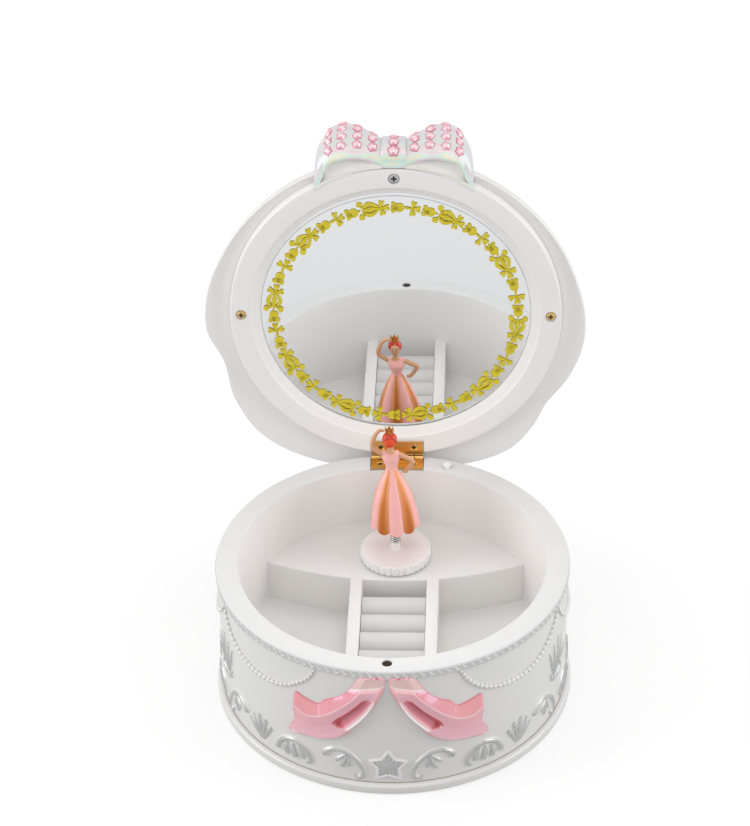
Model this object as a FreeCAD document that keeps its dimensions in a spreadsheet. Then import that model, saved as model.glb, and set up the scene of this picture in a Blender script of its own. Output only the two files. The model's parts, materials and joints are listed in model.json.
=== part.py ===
import FreeCAD, Part
import math
import os
import Sketcher

# A round wind up music box: case, jewel tray, mirror lid on a hinge, dancer on a
# turntable, and the spring driven musical movement under the stage.
# Millimetres, +Z up, front is -Y. The origin is the middle of the face it stands on.

DRIVING_SIZES = {
    # case
    "rim_radius": 75.0, "rim_inner": 65.4, "rim_top": 64.5, "rim_thick": 3.0,
    "shell_radius": 74.4, "shell_wall": 2.2, "base_radius": 76.8, "base_rim": 4.4,
    "plate_thick": 2.5, "upstand_radius": 72.0, "upstand_wall": 2.0, "upstand_top": 10.0,
    "tray_wall": 1.8, "tray_floor": 16.5, "floor_thick": 2.0,
    "stage_top": 36.0, "stage_thick": 2.0, "stage_arc": 135.5, "stage_front": 20.9,
    "aisle_half": 14.0, "aisle_wall": 5.4, "roll_pitch": 12.05, "roll_half": 5.7,
    "roll_back": 9.65, "roll_top": 34.0, "roll_gap": 0.2,
    "boss_radius": 3.5, "boss_side": 48.0, "boss_back": 25.0, "boss_front": 56.0,
    "pilot_radius": 1.25, "base_screw_head": 2.6, "base_screw_sunk": 0.6, "base_screw_long": 11.0,
    "screw_head_thick": 1.4, "slot_half": 0.3, "slot_deep": 0.6,
    "magnet_radius": 2.0, "magnet_reach": 69.2, "magnet_thick": 2.2, "magnet_sunk": 0.6,
    "ribbon_thick": 2.4, "roll_count": 6, "aisle_lap": 4.0, "slot_share": 0.7,
    "seat_reach": 71.8, "seat_half": 3.2, "seat_span": 9.0, "shaft_clear": 0.9, "plunger_play": 0.15,
    # fits
    "overrun": 1.0, "lap": 0.5, "end_play": 0.2, "hair_gap": 0.1, "head_play": 0.3, "shank_play": 0.2,
    # hinge
    "hinge_half": 11.5, "hinge_back": 73.0, "knuckle_radius": 1.9, "pin_radius": 0.8,
    "knuckle_gap": 0.3, "middle_half": 3.7, "leaf_thick": 0.8, "leaf_reach": 7.8,
    "leaf_screw_x": 7.4, "leaf_screw_y": 5.2, "leaf_screw_head": 1.7, "leaf_screw_shank": 0.8,
    "leaf_screw_length": 2.6, "pin_play": 0.05, "open_angle": 92.0,
    # lid
    "lid_gap": 0.3, "frame_radius": 71.6, "frame_deep": 7.0, "bevel_outer": 62.0,
    "bevel_deep": 3.5, "mirror_show": 58.5, "mirror_radius": 60.0, "mirror_thick": 2.5,
    "backing_thick": 1.0, "brim_level": 5.0, "brim_edge": 1.8, "cove_level": 9.5,
    "cove_radius": 72.6, "lid_mean": 78.0, "frame_play": 0.3, "mirror_play": 0.2,
    "lid_screw_ring": 66.9, "lid_screw_head": 2.3, "lid_screw_sunk": 0.6, "lid_screw_end": 13.5,
    "bow_low": 0.6, "bow_inner": 72.4, "bow_middle": 19.0, "bow_shrink": 0.85,
    "knot_half": 5.2, "knot_front": 82.5, "knot_high": 15.0, "knot_round": 0.55,
    # turntable and dancer
    "table_y": 38.0, "table_radius": 15.6, "table_low": 36.6, "table_top": 41.0,
    "flute_count": 34, "flute_radius": 0.95, "table_boss": 2.9, "table_boss_top": 42.0,
    "table_shaft": 1.5, "shaft_play": 0.06, "shaft_grip": 2.0, "table_edge": 0.5, "flute_out": 0.35,
    "fold_level": 52.5, "coil_radius": 2.0, "coil_wire": 0.42, "coil_pitch": 0.9,
    "coil_low_top": 49.6, "coil_high_top": 58.5,
    "hem_level": 55.0, "hem_radius": 10.7, "waist_level": 82.7, "waist_radius": 2.7,
    "skirt_wall": 1.3, "shoulder_level": 92.0, "shoulder_half": 3.7, "chin_level": 95.2,
    "head_half": 3.3, "head_top": 103.0, "crown_top": 105.8, "crown_radius": 2.3,
    "dancer_pin": 1.15, "dancer_pin_top": 75.0, "dancer_pin_drop": 0.4, "arm_radius": 1.05,
    "skirt_socket": 5.0, "chest_drop": 2.0, "shoulder_share": 0.85, "neck_rise": 0.6, "neck_lap": 0.8,
    "crown_share": 0.8, "crown_lap": 1.2,
    # stop plunger
    "plunger_x": 22.2, "plunger_y": 65.97, "plunger_radius": 1.6, "plunger_travel": 1.5,
    "plunger_low": 40.0, "collar_radius": 2.25, "collar_low": 59.9, "collar_top": 61.4,
    "seat_low": 44.0, "seat_top": 46.0, "stop_coil": 1.97, "stop_coil_wire": 0.28,
    "stop_coil_pitch": 1.7, "wire_radius": 0.4, "wire_level": 33.3, "wire_end": 20.6,
    "wire_clear": 0.85, "wire_side": 1.1, "wire_bend": 3.0,
    # movement
    "module_size": 0.5, "backlash": 0.34, "bed_low": 15.0, "bed_top": 17.5,
    "bed_left": 39.5, "bed_right": 31.0, "bed_front": 26.9, "wing_front": 29.6,
    "bed_back": 57.5, "bed_far": 63.4,
    "barrel_x": -16.0, "barrel_y": 46.47, "gear_low": 18.2, "gear_thick": 1.8,
    "drum_radius": 9.9, "drum_top": 22.4, "drum_cavity": 8.6, "cover_top": 23.0,
    "crown_teeth": 36, "crown_width": 1.5, "crown_tooth": 1.05, "crown_tip": 0.28,
    "crown_foot": 0.72, "mesh_play": 0.1,
    "arbor_radius": 1.6, "arbor_top": 26.0, "arbor_play": 0.4,
    "well_radius": 14.7, "well_wall": 1.8, "well_deep": 12.0, "key_half": 12.0,
    "key_low": 1.4, "key_top": 10.4, "key_hub": 4.2, "key_blade": 2.6, "key_hub_top": 11.2,
    "key_step": 2.4, "key_eye": 0.42, "bar_low": 0.5, "bar_high": 0.7,
    "ratchet_low": 24.5, "ratchet_thick": 0.8, "ratchet_radius": 4.0, "ratchet_root": 0.82,
    "ratchet_teeth": 14,
    "click_post": 1.2, "click_out": 2.6, "click_gap": 0.35, "click_half": 0.6,
    "strip_thick": 0.3, "spring_turns": 5, "spring_inset": 0.6, "spring_out": 0.3,
    "table_teeth": 24, "barrel_teeth": 48, "pinion_teeth": 12, "wheel_teeth": 24,
    "worm_wheel_teeth": 20, "axis_level": 26.6, "pinion_wide": 1.2,
    "cylinder_left": 0.3, "cylinder_long": 18.0, "cylinder_radius": 5.5, "cylinder_arbor": 1.0,
    "pin_high": 0.55, "pin_root": 0.3, "pin_round": 0.22, "note_count": 18, "beat_count": 3, "comb_gap": 0.35,
    "comb_thick": 1.0, "comb_tooth": 0.72, "comb_root": 58.0, "comb_back": 63.0, "comb_screw": 0.9,
    "comb_pilot": 6.0, "comb_head": 1.0, "comb_screw_long": 5.0,
    "lug_high": 2.6, "lug_half": 2.4, "near_lug": 3.1, "near_gap": 1.3, "near_half": 1.9,
    "tail_left": 3.0, "pilot_skin": 0.3,
    "wheel_left": 19.2, "wheel_wide": 1.5, "lug_left": 21.6, "lug_wide": 1.4,
    "worm_wheel_left": 24.0, "outer_lug": 27.2, "worm_radius": 2.2, "worm_root": 1.55,
    "thread_foot": 0.32, "thread_tip": 0.13, "governor_arbor": 0.9, "fly_pivot": 0.7, "pivot_lift": 0.4,
    "fly_radius": 4.2, "fly_low": 18.4, "fly_top": 21.2, "worm_low": 22.6, "worm_top": 30.4,
    "fly_hub": 0.8, "fly_blade": 0.3, "bracket_low": 31.5, "bracket_top": 33.0, "bracket_half": 1.9,
    "bracket_nose": 1.5,
}

# Lid brim: radius about the lid's middle at each angle, 90 at the front, -90 at the hinge.
BRIM_OUTLINE = (
    (-90, 80.5), (-70, 84.5), (-55, 86.8), (-44, 84.0), (-35, 80.8), (-24, 82.4), (-8, 83.0),
    (13, 79.2), (40, 76.4), (65, 75.2), (90, 75.4), (115, 75.2), (140, 77.0), (160, 79.4),
    (174, 82.2), (187, 83.4), (199, 80.2), (211, 84.6), (227, 88.2), (248, 85.2),
)
# Dome of the lid: height over the mirror frame's face, share of the outline, depth of its lobes.
DOME_SECTIONS = (
    (5.0, 0.985, 1.0), (6.5, 1.0, 1.0), (10.0, 0.985, 1.0), (15.0, 0.93, 0.9), (20.0, 0.82, 0.75),
    (24.0, 0.64, 0.55), (26.6, 0.40, 0.3), (27.6, 0.15, 0.1),
)
# Hollow inside the dome: height and radius.
CAVITY_SECTIONS = ((7.3, 64.0), (15.0, 59.0), (19.5, 48.0), (22.8, 32.0), (24.4, 12.0))
# One ribbon tail on the front of the case: half width and height of each corner.
RIBBON_OUTLINE = (
    (0.4, 61.4), (10.5, 61.4), (14.5, 55.2), (17.0, 51.4), (26.0, 47.2), (30.6, 41.4),
    (38.4, 44.6), (38.9, 38.4), (37.3, 30.4), (40.0, 29.6), (39.9, 23.2), (24.6, 25.4),
    (15.2, 33.0), (9.0, 41.4), (3.6, 50.5), (1.4, 56.5),
)
# Bow loop along its length: distance from the knot's middle, reach of its lip and crest from the
# lid's middle, and depth behind the frame's face.
BOW_STATIONS = (
    (5.2, 76.0, 81.5, 15.0), (12.5, 78.5, 83.4, 22.0), (20.0, 79.5, 84.4, 27.0),
    (27.0, 78.5, 83.0, 25.0), (31.0, 75.0, 79.5, 20.0), (33.0, 70.0, 74.0, 14.0),
)
# Shares of the way from the frame to the lip or crest, and of the depth.
BOW_BACK = 0.75
MOUTH_BACK = 0.10
MOUTH_LIP = 0.55
MOUTH_CREST = 0.80
MOUTH_TOP = 0.35
MOUTH_DEEP = 0.55
# Dancer's skirt between hem and waist: share of the hem's radius and rise over it.
SKIRT_PROFILE = ((0.83, 9.0), (0.53, 19.0))
# Posts of the base plate that carry the movement: x and y.
MOVEMENT_POSTS = ((-35.5, 50.0), (27.0, 53.5), (-33.0, 32.0), (12.0, 30.9))
# Comb screws: shares of the comb's length.
COMB_SCREWS = (0.25, 0.75)
# Dancer's arms: x and z of the shoulder, elbow and hand.
RAISED_ARM = ((-3.5, 91.6), (-9.2, 95.3), (-3.2, 102.6))
HIP_ARM = ((3.5, 91.6), (8.9, 88.4), (4.9, 82.2))

EPSILON = 0.02
FULL_TURN = 360.0
HALF_TURN = 180.0
QUARTER_TURN = 90.0
PRESSURE_ANGLE = math.radians(20.0)
ADDENDUM = 0.85
DEDENDUM = 1.2
SPIRAL_STEPS = 16
# Tune: steps in one turn of the cylinder, and how far each note and beat moves on.
TUNE_STEPS = 48
NOTE_STEP = 5
BEAT_STEP = 17
TUNE_START = 6.0
X_AXIS = FreeCAD.Vector(1, 0, 0)
Y_AXIS = FreeCAD.Vector(0, 1, 0)
Z_AXIS = FreeCAD.Vector(0, 0, 1)
LAY_ALONG_X = FreeCAD.Rotation(Y_AXIS, QUARTER_TURN)
UPRIGHT = FreeCAD.Rotation()

doc = FreeCAD.newDocument("MusicBox")
sheet = doc.addObject("Spreadsheet::Sheet", "Sizes")
for row, (alias, number) in enumerate(DRIVING_SIZES.items(), start=1):
    sheet.set(f"A{row}", alias)
    sheet.set(f"B{row}", str(number))
    sheet.setAlias(f"B{row}", alias)
doc.recompute()


class Size:
    """A number with the sheet expression that gives it."""

    def __init__(self, number, text):
        self.number = number
        self.text = text

    def __float__(self):
        return float(self.number)

    def joined(self, sign, other, number):
        return Size(number, f"({self.text} {sign} {as_size(other).text})")

    def __add__(self, other):
        return self.joined("+", other, float(self) + float(other))

    def __sub__(self, other):
        return self.joined("-", other, float(self) - float(other))

    def __mul__(self, other):
        return self.joined("*", other, float(self) * float(other))

    def __truediv__(self, other):
        return self.joined("/", other, float(self) / float(other))

    def __neg__(self):
        return Size(-float(self), f"(-1 * {self.text})")

    def __radd__(self, other):
        return as_size(other) + self

    def __rsub__(self, other):
        return as_size(other) - self

    def __rmul__(self, other):
        return as_size(other) * self


def as_size(thing):
    """A plain number as a Size."""
    return thing if isinstance(thing, Size) else Size(float(thing), repr(float(thing)))


class Sheet:
    """The sheet's cells by alias."""

    def __getattr__(self, alias):
        return Size(float(getattr(sheet, alias)), f"Sizes.{alias}")


S = Sheet()
NODES = []


def node(solid, label):
    """Mark a document object as a finished sub-part with its own label."""
    solid.Label = label
    NODES.append(solid)
    return solid


def bind(thing, sizes):
    """Tie properties to the sheet."""
    for path, amount in sizes.items():
        thing.setExpression(path, as_size(amount).text)


def stand(thing, x=0, y=0, z=0, rotation=UPRIGHT):
    """Turn a piece and tie its place to the sheet."""
    thing.Placement = FreeCAD.Placement(FreeCAD.Vector(), rotation)
    bind(thing, {"Placement.Base.x": x, "Placement.Base.y": y, "Placement.Base.z": z})
    return thing


def cylinder(name, radius, height, x=0, y=0, z=0, rotation=UPRIGHT):
    solid = doc.addObject("Part::Cylinder", name)
    bind(solid, {"Radius": radius, "Height": height})
    return stand(solid, x, y, z, rotation)


def cone(name, low_radius, high_radius, height, x=0, y=0, z=0):
    solid = doc.addObject("Part::Cone", name)
    bind(solid, {"Radius1": low_radius, "Radius2": high_radius, "Height": height})
    return stand(solid, x, y, z)


def box(name, x_range, y_range, z_range):
    solid = doc.addObject("Part::Box", name)
    spans = (x_range, y_range, z_range)
    for side, (low, high) in zip(("Length", "Width", "Height"), spans):
        bind(solid, {side: as_size(high) - low})
    return stand(solid, x_range[0], y_range[0], z_range[0])


def fuse(name, *pieces):
    joined = doc.addObject("Part::MultiFuse", name)
    joined.Shapes = list(pieces)
    joined.Refine = True
    return joined


def group(name, *pieces):
    together = doc.addObject("Part::Compound", name)
    together.Links = list(pieces)
    return together


def cut(name, base, *tools):
    result = doc.addObject("Part::Cut", name)
    result.Base = base
    result.Tool = tools[0] if len(tools) == 1 else group(name + "Tools", *tools)
    return result


def common(name, first, second):
    result = doc.addObject("Part::Common", name)
    result.Base = first
    result.Tool = second
    return result


def plane(body, role):
    """One of a body's own origin planes."""
    return next(p for p in body.Origin.OriginFeatures if p.Role == role)


def outline_sketch(body, role, name, corners):
    """A closed sketch of straight lines whose corners are tied to the sheet."""
    sketch = body.newObject("Sketcher::SketchObject", name)
    sketch.AttachmentSupport = [(plane(body, role), "")]
    sketch.MapMode = "FlatFace"
    points = [FreeCAD.Vector(float(a), float(b), 0) for a, b in corners]
    count = len(points)
    for index in range(count):
        sketch.addGeometry(Part.LineSegment(points[index], points[(index + 1) % count]), False)
    for index in range(count):
        sketch.addConstraint(Sketcher.Constraint("Coincident", index, 2, (index + 1) % count, 1))
    for index, corner in enumerate(corners):
        for kind, amount in zip(("DistanceX", "DistanceY"), corner):
            size = as_size(amount)
            place = sketch.addConstraint(Sketcher.Constraint(kind, -1, 1, index, 1, size.number))
            sketch.setExpression(f"Constraints[{place}]", size.text)
    return sketch


def lathe(name, profile):
    """A body turned about Z from a profile of radius and height pairs."""
    body = doc.addObject("PartDesign::Body", name)
    sketch = outline_sketch(body, "XZ_Plane", name + "Profile", profile)
    turned = body.newObject("PartDesign::Revolution", name + "Turned")
    turned.Profile = sketch
    turned.ReferenceAxis = (sketch, ["V_Axis"])
    turned.Angle = FULL_TURN
    return body


def plate(name, corners, thick):
    """A body padded up from an outline on XY."""
    body = doc.addObject("PartDesign::Body", name)
    sketch = outline_sketch(body, "XY_Plane", name + "Outline", corners)
    pad = body.newObject("PartDesign::Pad", name + "Pad")
    pad.Profile = sketch
    bind(pad, {"Length": thick})
    return body


def shaped(name, shape, placement=None):
    """A piece whose shape comes from a formula."""
    piece = doc.addObject("Part::Feature", name)
    piece.Shape = shape
    if placement is not None:
        piece.Placement = placement
    return piece


def vector(x, y, z):
    return FreeCAD.Vector(float(x), float(y), float(z))


def count_of(size):
    return int(float(size))


# Case

def build_shell():
    shell = lathe("OuterShell", (
        (S.shell_radius - S.shell_wall, S.base_rim), (S.shell_radius, S.base_rim),
        (S.shell_radius, S.rim_top - S.rim_thick),
        (S.shell_radius - S.shell_wall, S.rim_top - S.rim_thick)))
    node(shell, "outer_shell")


def boss_places():
    return ((-S.boss_side, -S.boss_back), (S.boss_side, -S.boss_back), (as_size(0), -S.boss_front))


def post_places():
    return tuple((as_size(x), as_size(y)) for x, y in MOVEMENT_POSTS)


def build_base():
    inner = S.upstand_radius - S.upstand_wall
    dish = lathe("BaseDish", (
        (0, 0), (S.base_radius, 0), (S.base_radius, S.base_rim),
        (S.upstand_radius, S.base_rim), (S.upstand_radius, S.upstand_top), (inner, S.upstand_top),
        (inner, S.plate_thick), (0, S.plate_thick)))
    well_top = S.well_deep + S.floor_thick
    wall = cylinder("WellWall", S.well_radius + S.well_wall, well_top, S.barrel_x, S.barrel_y)
    posts = [cylinder(f"BedPost{i}", S.boss_radius, S.bed_low, x, y)
             for i, (x, y) in enumerate(post_places())]
    solid = fuse("BaseSolid", dish, wall, *posts)
    hollows = [
        cylinder("Well", S.well_radius, S.well_deep, S.barrel_x, S.barrel_y),
        cylinder("WellHole", S.arbor_radius + S.arbor_play, well_top + S.overrun, S.barrel_x, S.barrel_y)]
    sink = S.base_screw_sunk + S.screw_head_thick
    for i, (x, y) in enumerate(boss_places() + post_places()):
        hollows.append(cylinder(f"Sink{i}", S.base_screw_head + S.head_play, sink, x, y))
        hollows.append(cylinder(f"Through{i}", S.pilot_radius + S.shank_play, S.bed_low, x, y))
    node(cut("BasePlate", solid, *hollows), "base_plate")


def screw(name, head, shank, head_thick, length, x, y, z):
    """A round screw standing head down on z."""
    body = cylinder(name + "Head", head, head_thick, x, y, z)
    stem = cylinder(name + "Stem", shank, length, x, y, z)
    slot_long = head * S.slot_share
    slot = box(name + "Slot", (x - slot_long, x + slot_long), (y - S.slot_half, y + S.slot_half),
               (z - EPSILON, z + S.slot_deep))
    return cut(name, fuse(name + "Whole", body, stem), slot)


def build_base_screws():
    bed_screw_long = S.bed_top - S.base_screw_sunk - S.lap
    sets = (("base_screws", boss_places(), S.base_screw_long),
            ("movement_screws", post_places(), bed_screw_long))
    for label, places, long in sets:
        screws = [screw(f"{label}{i}", S.base_screw_head, S.pilot_radius, S.screw_head_thick,
                        long, x, y, S.base_screw_sunk)
                  for i, (x, y) in enumerate(places)]
        node(group(label + "Group", *screws), label)


def stage_disc(name, radius, low, high):
    """The big round whose edge is the stage's bowed front."""
    return cylinder(name, radius, high - low, 0, S.stage_front + S.stage_arc, low)


def build_tray():
    wall_outer = S.rim_inner + S.tray_wall
    pan_low = S.tray_floor - S.floor_thick
    rim_low = S.rim_top - S.rim_thick
    over = S.stage_top + S.overrun
    pan = cut("PanOuter", cylinder("PanRound", wall_outer, S.stage_top - pan_low, 0, 0, pan_low),
              stage_disc("PanBack", S.stage_arc - S.floor_thick, pan_low - S.overrun, over))
    hollow = cut("PanHollow", cylinder("PanInner", S.rim_inner, over - S.tray_floor, 0, 0, S.tray_floor),
                 stage_disc("PanStep", S.stage_arc, pan_low, over + S.overrun))
    pan = cut("Pan", pan, hollow)
    stage = common("Stage", cylinder("StageRound", wall_outer, S.stage_thick, 0, 0,
                                     S.stage_top - S.stage_thick),
                   stage_disc("StageBow", S.stage_arc, S.stage_top - S.stage_thick, S.stage_top))
    wall = lathe("TrayWall", (
        (S.rim_inner, S.stage_top - S.stage_thick), (wall_outer, S.stage_top - S.stage_thick),
        (wall_outer, rim_low), (S.rim_radius, rim_low), (S.rim_radius, S.rim_top),
        (S.rim_inner, S.rim_top)))
    aisle = []
    for side, name in ((-1.0, "Left"), (1.0, "Right")):
        near = S.aisle_half * side
        far = (S.aisle_half + S.aisle_wall) * side
        low, high = (near, far) if side > 0 else (far, near)
        wall_box = box(f"Aisle{name}", (low, high), (-wall_outer, S.stage_front + S.aisle_lap),
                       (S.tray_floor - S.lap, S.stage_top))
        aisle.append(common(f"AisleWall{name}", wall_box,
                            cylinder(f"AisleRound{name}", S.rim_inner + S.lap, over, 0, 0, 0)))
    bosses = [cylinder(f"TrayBoss{i}", S.boss_radius, pan_low - S.plate_thick + S.lap, x, y,
                       S.plate_thick)
              for i, (x, y) in enumerate(boss_places())]
    seat_ring = lathe("SeatRing", (
        (wall_outer - S.lap, S.seat_low), (S.seat_reach, S.seat_low),
        (S.seat_reach, S.seat_top), (wall_outer - S.lap, S.seat_top)))
    seat_box = box("SeatBox", (S.plunger_x - S.seat_half, S.plunger_x + S.seat_half),
                   (S.plunger_y - S.seat_span, S.plunger_y + S.seat_span),
                   (S.seat_low - S.overrun, S.seat_top + S.overrun))
    seat = common("PlungerSeat", seat_ring, seat_box)
    solid = fuse("TraySolid", pan, stage, wall, seat, *aisle, *bosses)
    groove = S.knuckle_radius + S.knuckle_gap + S.hair_gap
    groove_half = S.hinge_half + S.knuckle_gap
    recess_half = S.hinge_half + S.hair_gap
    holes = [
        cylinder("ShaftHole", S.table_shaft + S.shaft_clear, S.stage_top, 0, S.table_y, S.tray_floor),
        cylinder("PlungerHole", S.plunger_radius + S.plunger_play, S.rim_top, S.plunger_x, S.plunger_y,
                 S.seat_low - S.overrun),
        cylinder("MagnetHole", S.magnet_radius + S.pin_play, S.rim_thick, 0, -S.magnet_reach,
                 S.rim_top - S.magnet_sunk - S.magnet_thick),
        cylinder("KnuckleGroove", groove, groove_half * 2, -groove_half, S.hinge_back, S.rim_top, LAY_ALONG_X),
        box("LeafRecess", (-recess_half, recess_half),
            (S.hinge_back - S.leaf_reach - S.hair_gap, S.hinge_back),
            (S.rim_top - S.leaf_thick, S.rim_top + S.overrun))]
    for name, side in (("Left", -1.0), ("Right", 1.0)):
        holes.append(cylinder(f"LeafPilot{name}", S.leaf_screw_shank, S.rim_thick,
                              S.leaf_screw_x * side, S.hinge_back - S.leaf_screw_y,
                              S.rim_top - S.leaf_screw_length - S.end_play))
    for i, (x, y) in enumerate(boss_places()):
        holes.append(cylinder(f"BossPilot{i}", S.pilot_radius, S.base_screw_long, x, y, S.plate_thick - S.lap))
    node(cut("Tray", solid, *holes), "tray")


def build_ring_rolls():
    half_wide = S.aisle_half - S.roll_gap
    rolls = []
    for index in range(count_of(S.roll_count)):
        middle = S.roll_back - S.roll_pitch * index
        crest = S.roll_top - S.roll_half
        stem = box(f"RollStem{index}", (-half_wide, half_wide),
                   (middle - S.roll_half, middle + S.roll_half), (S.tray_floor, crest))
        top = cylinder(f"RollTop{index}", S.roll_half, half_wide * 2, -half_wide, middle, crest, LAY_ALONG_X)
        rolls.append(fuse(f"Roll{index}", stem, top))
    node(group("RingRolls", *rolls), "ring_rolls")


def build_magnet():
    low = S.rim_top - S.magnet_sunk - S.magnet_thick
    node(cylinder("CatchMagnet", S.magnet_radius, S.magnet_thick, 0, -S.magnet_reach, low), "catch_magnet")


def build_ribbons():
    for label, side in (("ribbon_tail_left", -1.0), ("ribbon_tail_right", 1.0)):
        corners = [(as_size(x * side), as_size(z)) for x, z in RIBBON_OUTLINE]
        sheet_of_ribbon = plate(f"{label}Cut", corners, S.base_radius + S.ribbon_thick)
        stand(sheet_of_ribbon, rotation=FreeCAD.Rotation(X_AXIS, QUARTER_TURN))
        ring = lathe(f"{label}Round", (
            (S.shell_radius, 0), (S.shell_radius + S.ribbon_thick, 0),
            (S.shell_radius + S.ribbon_thick, S.rim_top), (S.shell_radius, S.rim_top)))
        node(common(f"{label}Bent", ring, sheet_of_ribbon), label)


# Hinge

def knuckle(name, left, right, y, z):
    return cylinder(name, S.knuckle_radius, as_size(right) - left, left, y, z, LAY_ALONG_X)


def leaf_screw_places(y):
    return ((-S.leaf_screw_x, y), (S.leaf_screw_x, y))


def build_lower_leaf():
    low = S.rim_top - S.leaf_thick
    side_start = S.middle_half + S.knuckle_gap
    clear_y = S.hinge_back - S.knuckle_radius - S.knuckle_gap
    pieces = [box("LowerLeafPlate", (-S.hinge_half, S.hinge_half), (S.hinge_back - S.leaf_reach, clear_y),
                  (low, S.rim_top))]
    for name, left, right in (("L", -S.hinge_half, -side_start), ("R", side_start, S.hinge_half)):
        pieces.append(box(f"LowerTongue{name}", (left, right), (clear_y - S.hair_gap, S.hinge_back),
                          (low, S.rim_top)))
        pieces.append(knuckle(f"LowerKnuckle{name}", left, right, S.hinge_back, S.rim_top))
    bore = cylinder("LowerBore", S.pin_radius + S.pin_play, S.hinge_half * 2, -S.hinge_half,
                    S.hinge_back, S.rim_top, LAY_ALONG_X)
    sinks = [cone(f"LowerSink{i}", S.leaf_screw_shank, S.leaf_screw_head, S.leaf_thick, x, y, low)
             for i, (x, y) in enumerate(leaf_screw_places(S.hinge_back - S.leaf_screw_y))]
    node(cut("LowerLeaf", fuse("LowerLeafSolid", *pieces), bore, *sinks), "hinge_lower_leaf")
    node(cylinder("HingePin", S.pin_radius, S.hinge_half * 2, -S.hinge_half, S.hinge_back, S.rim_top,
                  LAY_ALONG_X), "hinge_pin")


def countersunk(name, x, y, face, way):
    """A small countersunk screw whose head is flush with face, its shank running the given way."""
    shank_far = face + S.leaf_screw_length * way
    sink_far = face + S.leaf_thick * way
    if way > 0:
        head = cone(name + "Head", S.leaf_screw_head, S.leaf_screw_shank, S.leaf_thick, x, y, face)
        stem = cylinder(name + "Stem", S.leaf_screw_shank, shank_far - sink_far, x, y, sink_far)
    else:
        head = cone(name + "Head", S.leaf_screw_shank, S.leaf_screw_head, S.leaf_thick, x, y, sink_far)
        stem = cylinder(name + "Stem", S.leaf_screw_shank, sink_far - shank_far, x, y, shank_far)
    return fuse(name, head, stem)


def build_lower_screws():
    places = leaf_screw_places(S.hinge_back - S.leaf_screw_y)
    screws = [countersunk(f"LowerScrew{i}", x, y, S.rim_top, -1.0) for i, (x, y) in enumerate(places)]
    node(group("LowerScrews", *screws), "hinge_lower_screws")


# Lid: drawn closed about the hinge pin's axis, then stood open

def on_lid(piece, label):
    stand(piece, 0, S.hinge_back, S.rim_top, FreeCAD.Rotation(X_AXIS, -float(S.open_angle)))
    return node(piece, label)


def build_upper_leaf():
    high = S.lid_gap + S.leaf_thick
    clear_y = -S.knuckle_radius - S.knuckle_gap
    pieces = [
        box("UpperLeafPlate", (-S.hinge_half, S.hinge_half), (-S.leaf_reach, clear_y), (S.lid_gap, high)),
        box("UpperTongue", (-S.middle_half, S.middle_half), (clear_y - S.hair_gap, 0), (S.lid_gap, high)),
        knuckle("UpperKnuckle", -S.middle_half, S.middle_half, 0, 0)]
    bore = cylinder("UpperBore", S.pin_radius + S.pin_play, S.hinge_half * 2, -S.hinge_half, 0, 0,
                    LAY_ALONG_X)
    sinks = [cone(f"UpperSink{i}", S.leaf_screw_head, S.leaf_screw_shank, S.leaf_thick, x, y, S.lid_gap)
             for i, (x, y) in enumerate(leaf_screw_places(-S.leaf_screw_y))]
    on_lid(cut("UpperLeaf", fuse("UpperLeafSolid", *pieces), bore, *sinks), "hinge_upper_leaf")
    screws = [countersunk(f"UpperScrew{i}", x, y, S.lid_gap, 1.0)
              for i, (x, y) in enumerate(leaf_screw_places(-S.leaf_screw_y))]
    on_lid(group("UpperScrews", *screws), "hinge_upper_screws")


def lid_screw_places():
    """Left, right and front screws of the mirror frame."""
    return ((-S.lid_screw_ring, -S.hinge_back), (S.lid_screw_ring, -S.hinge_back),
            (as_size(0), -S.hinge_back - S.lid_screw_ring))


def build_mirror_frame():
    face = S.lid_gap
    back = face + S.frame_deep
    seat = face + S.bevel_deep
    rebate = S.mirror_radius + S.mirror_play
    groove_half = S.hinge_half + S.knuckle_gap
    recess_half = S.hinge_half + S.hair_gap
    ring = lathe("FrameRing", (
        (S.bevel_outer, face), (S.frame_radius, face), (S.frame_radius, back), (rebate, back),
        (rebate, seat), (S.mirror_show, seat)))
    stand(ring, 0, -S.hinge_back, 0)
    tools = [
        box("FrameLeafRecess", (-recess_half, recess_half), (-S.leaf_reach - S.hair_gap, 0),
            (face - S.overrun, face + S.leaf_thick)),
        cylinder("FrameGroove", S.knuckle_radius + S.knuckle_gap + S.hair_gap, groove_half * 2,
                 -groove_half, 0, 0, LAY_ALONG_X)]
    for i, (x, y) in enumerate(leaf_screw_places(-S.leaf_screw_y)):
        tools.append(cylinder(f"FrameLeafPilot{i}", S.leaf_screw_shank, S.leaf_screw_length + S.end_play,
                              x, y, face))
    for i, (x, y) in enumerate(lid_screw_places()):
        tools.append(cylinder(f"FrameSink{i}", S.lid_screw_head + S.head_play,
                              S.lid_screw_sunk + S.screw_head_thick + S.lap, x, y, face - S.lap))
        tools.append(cylinder(f"FrameThrough{i}", S.pilot_radius + S.shank_play, S.frame_deep + S.overrun,
                              x, y, face))
    on_lid(cut("MirrorFrame", ring, *tools), "mirror_frame")
    on_lid(shifted(cylinder("Mirror", S.mirror_radius, S.mirror_thick, 0, -S.hinge_back, seat)), "mirror")
    on_lid(shifted(cylinder("MirrorBacking", S.mirror_radius, S.backing_thick, 0, -S.hinge_back,
                            seat + S.mirror_thick)), "mirror_backing")


def shifted(piece):
    """A piece held in a group, so that the group's own place can stand it open."""
    return group(piece.Name + "OnLid", piece)


def build_lid_screws():
    screws = [screw(f"LidScrew{i}", S.lid_screw_head, S.pilot_radius, S.screw_head_thick,
                    S.lid_screw_end, x, y, S.lid_gap + S.lid_screw_sunk)
              for i, (x, y) in enumerate(lid_screw_places())]
    on_lid(group("SideScrews", *screws[:2]), "lid_screws")
    on_lid(group("FrontScrew", screws[2]), "catch_screw")


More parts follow.
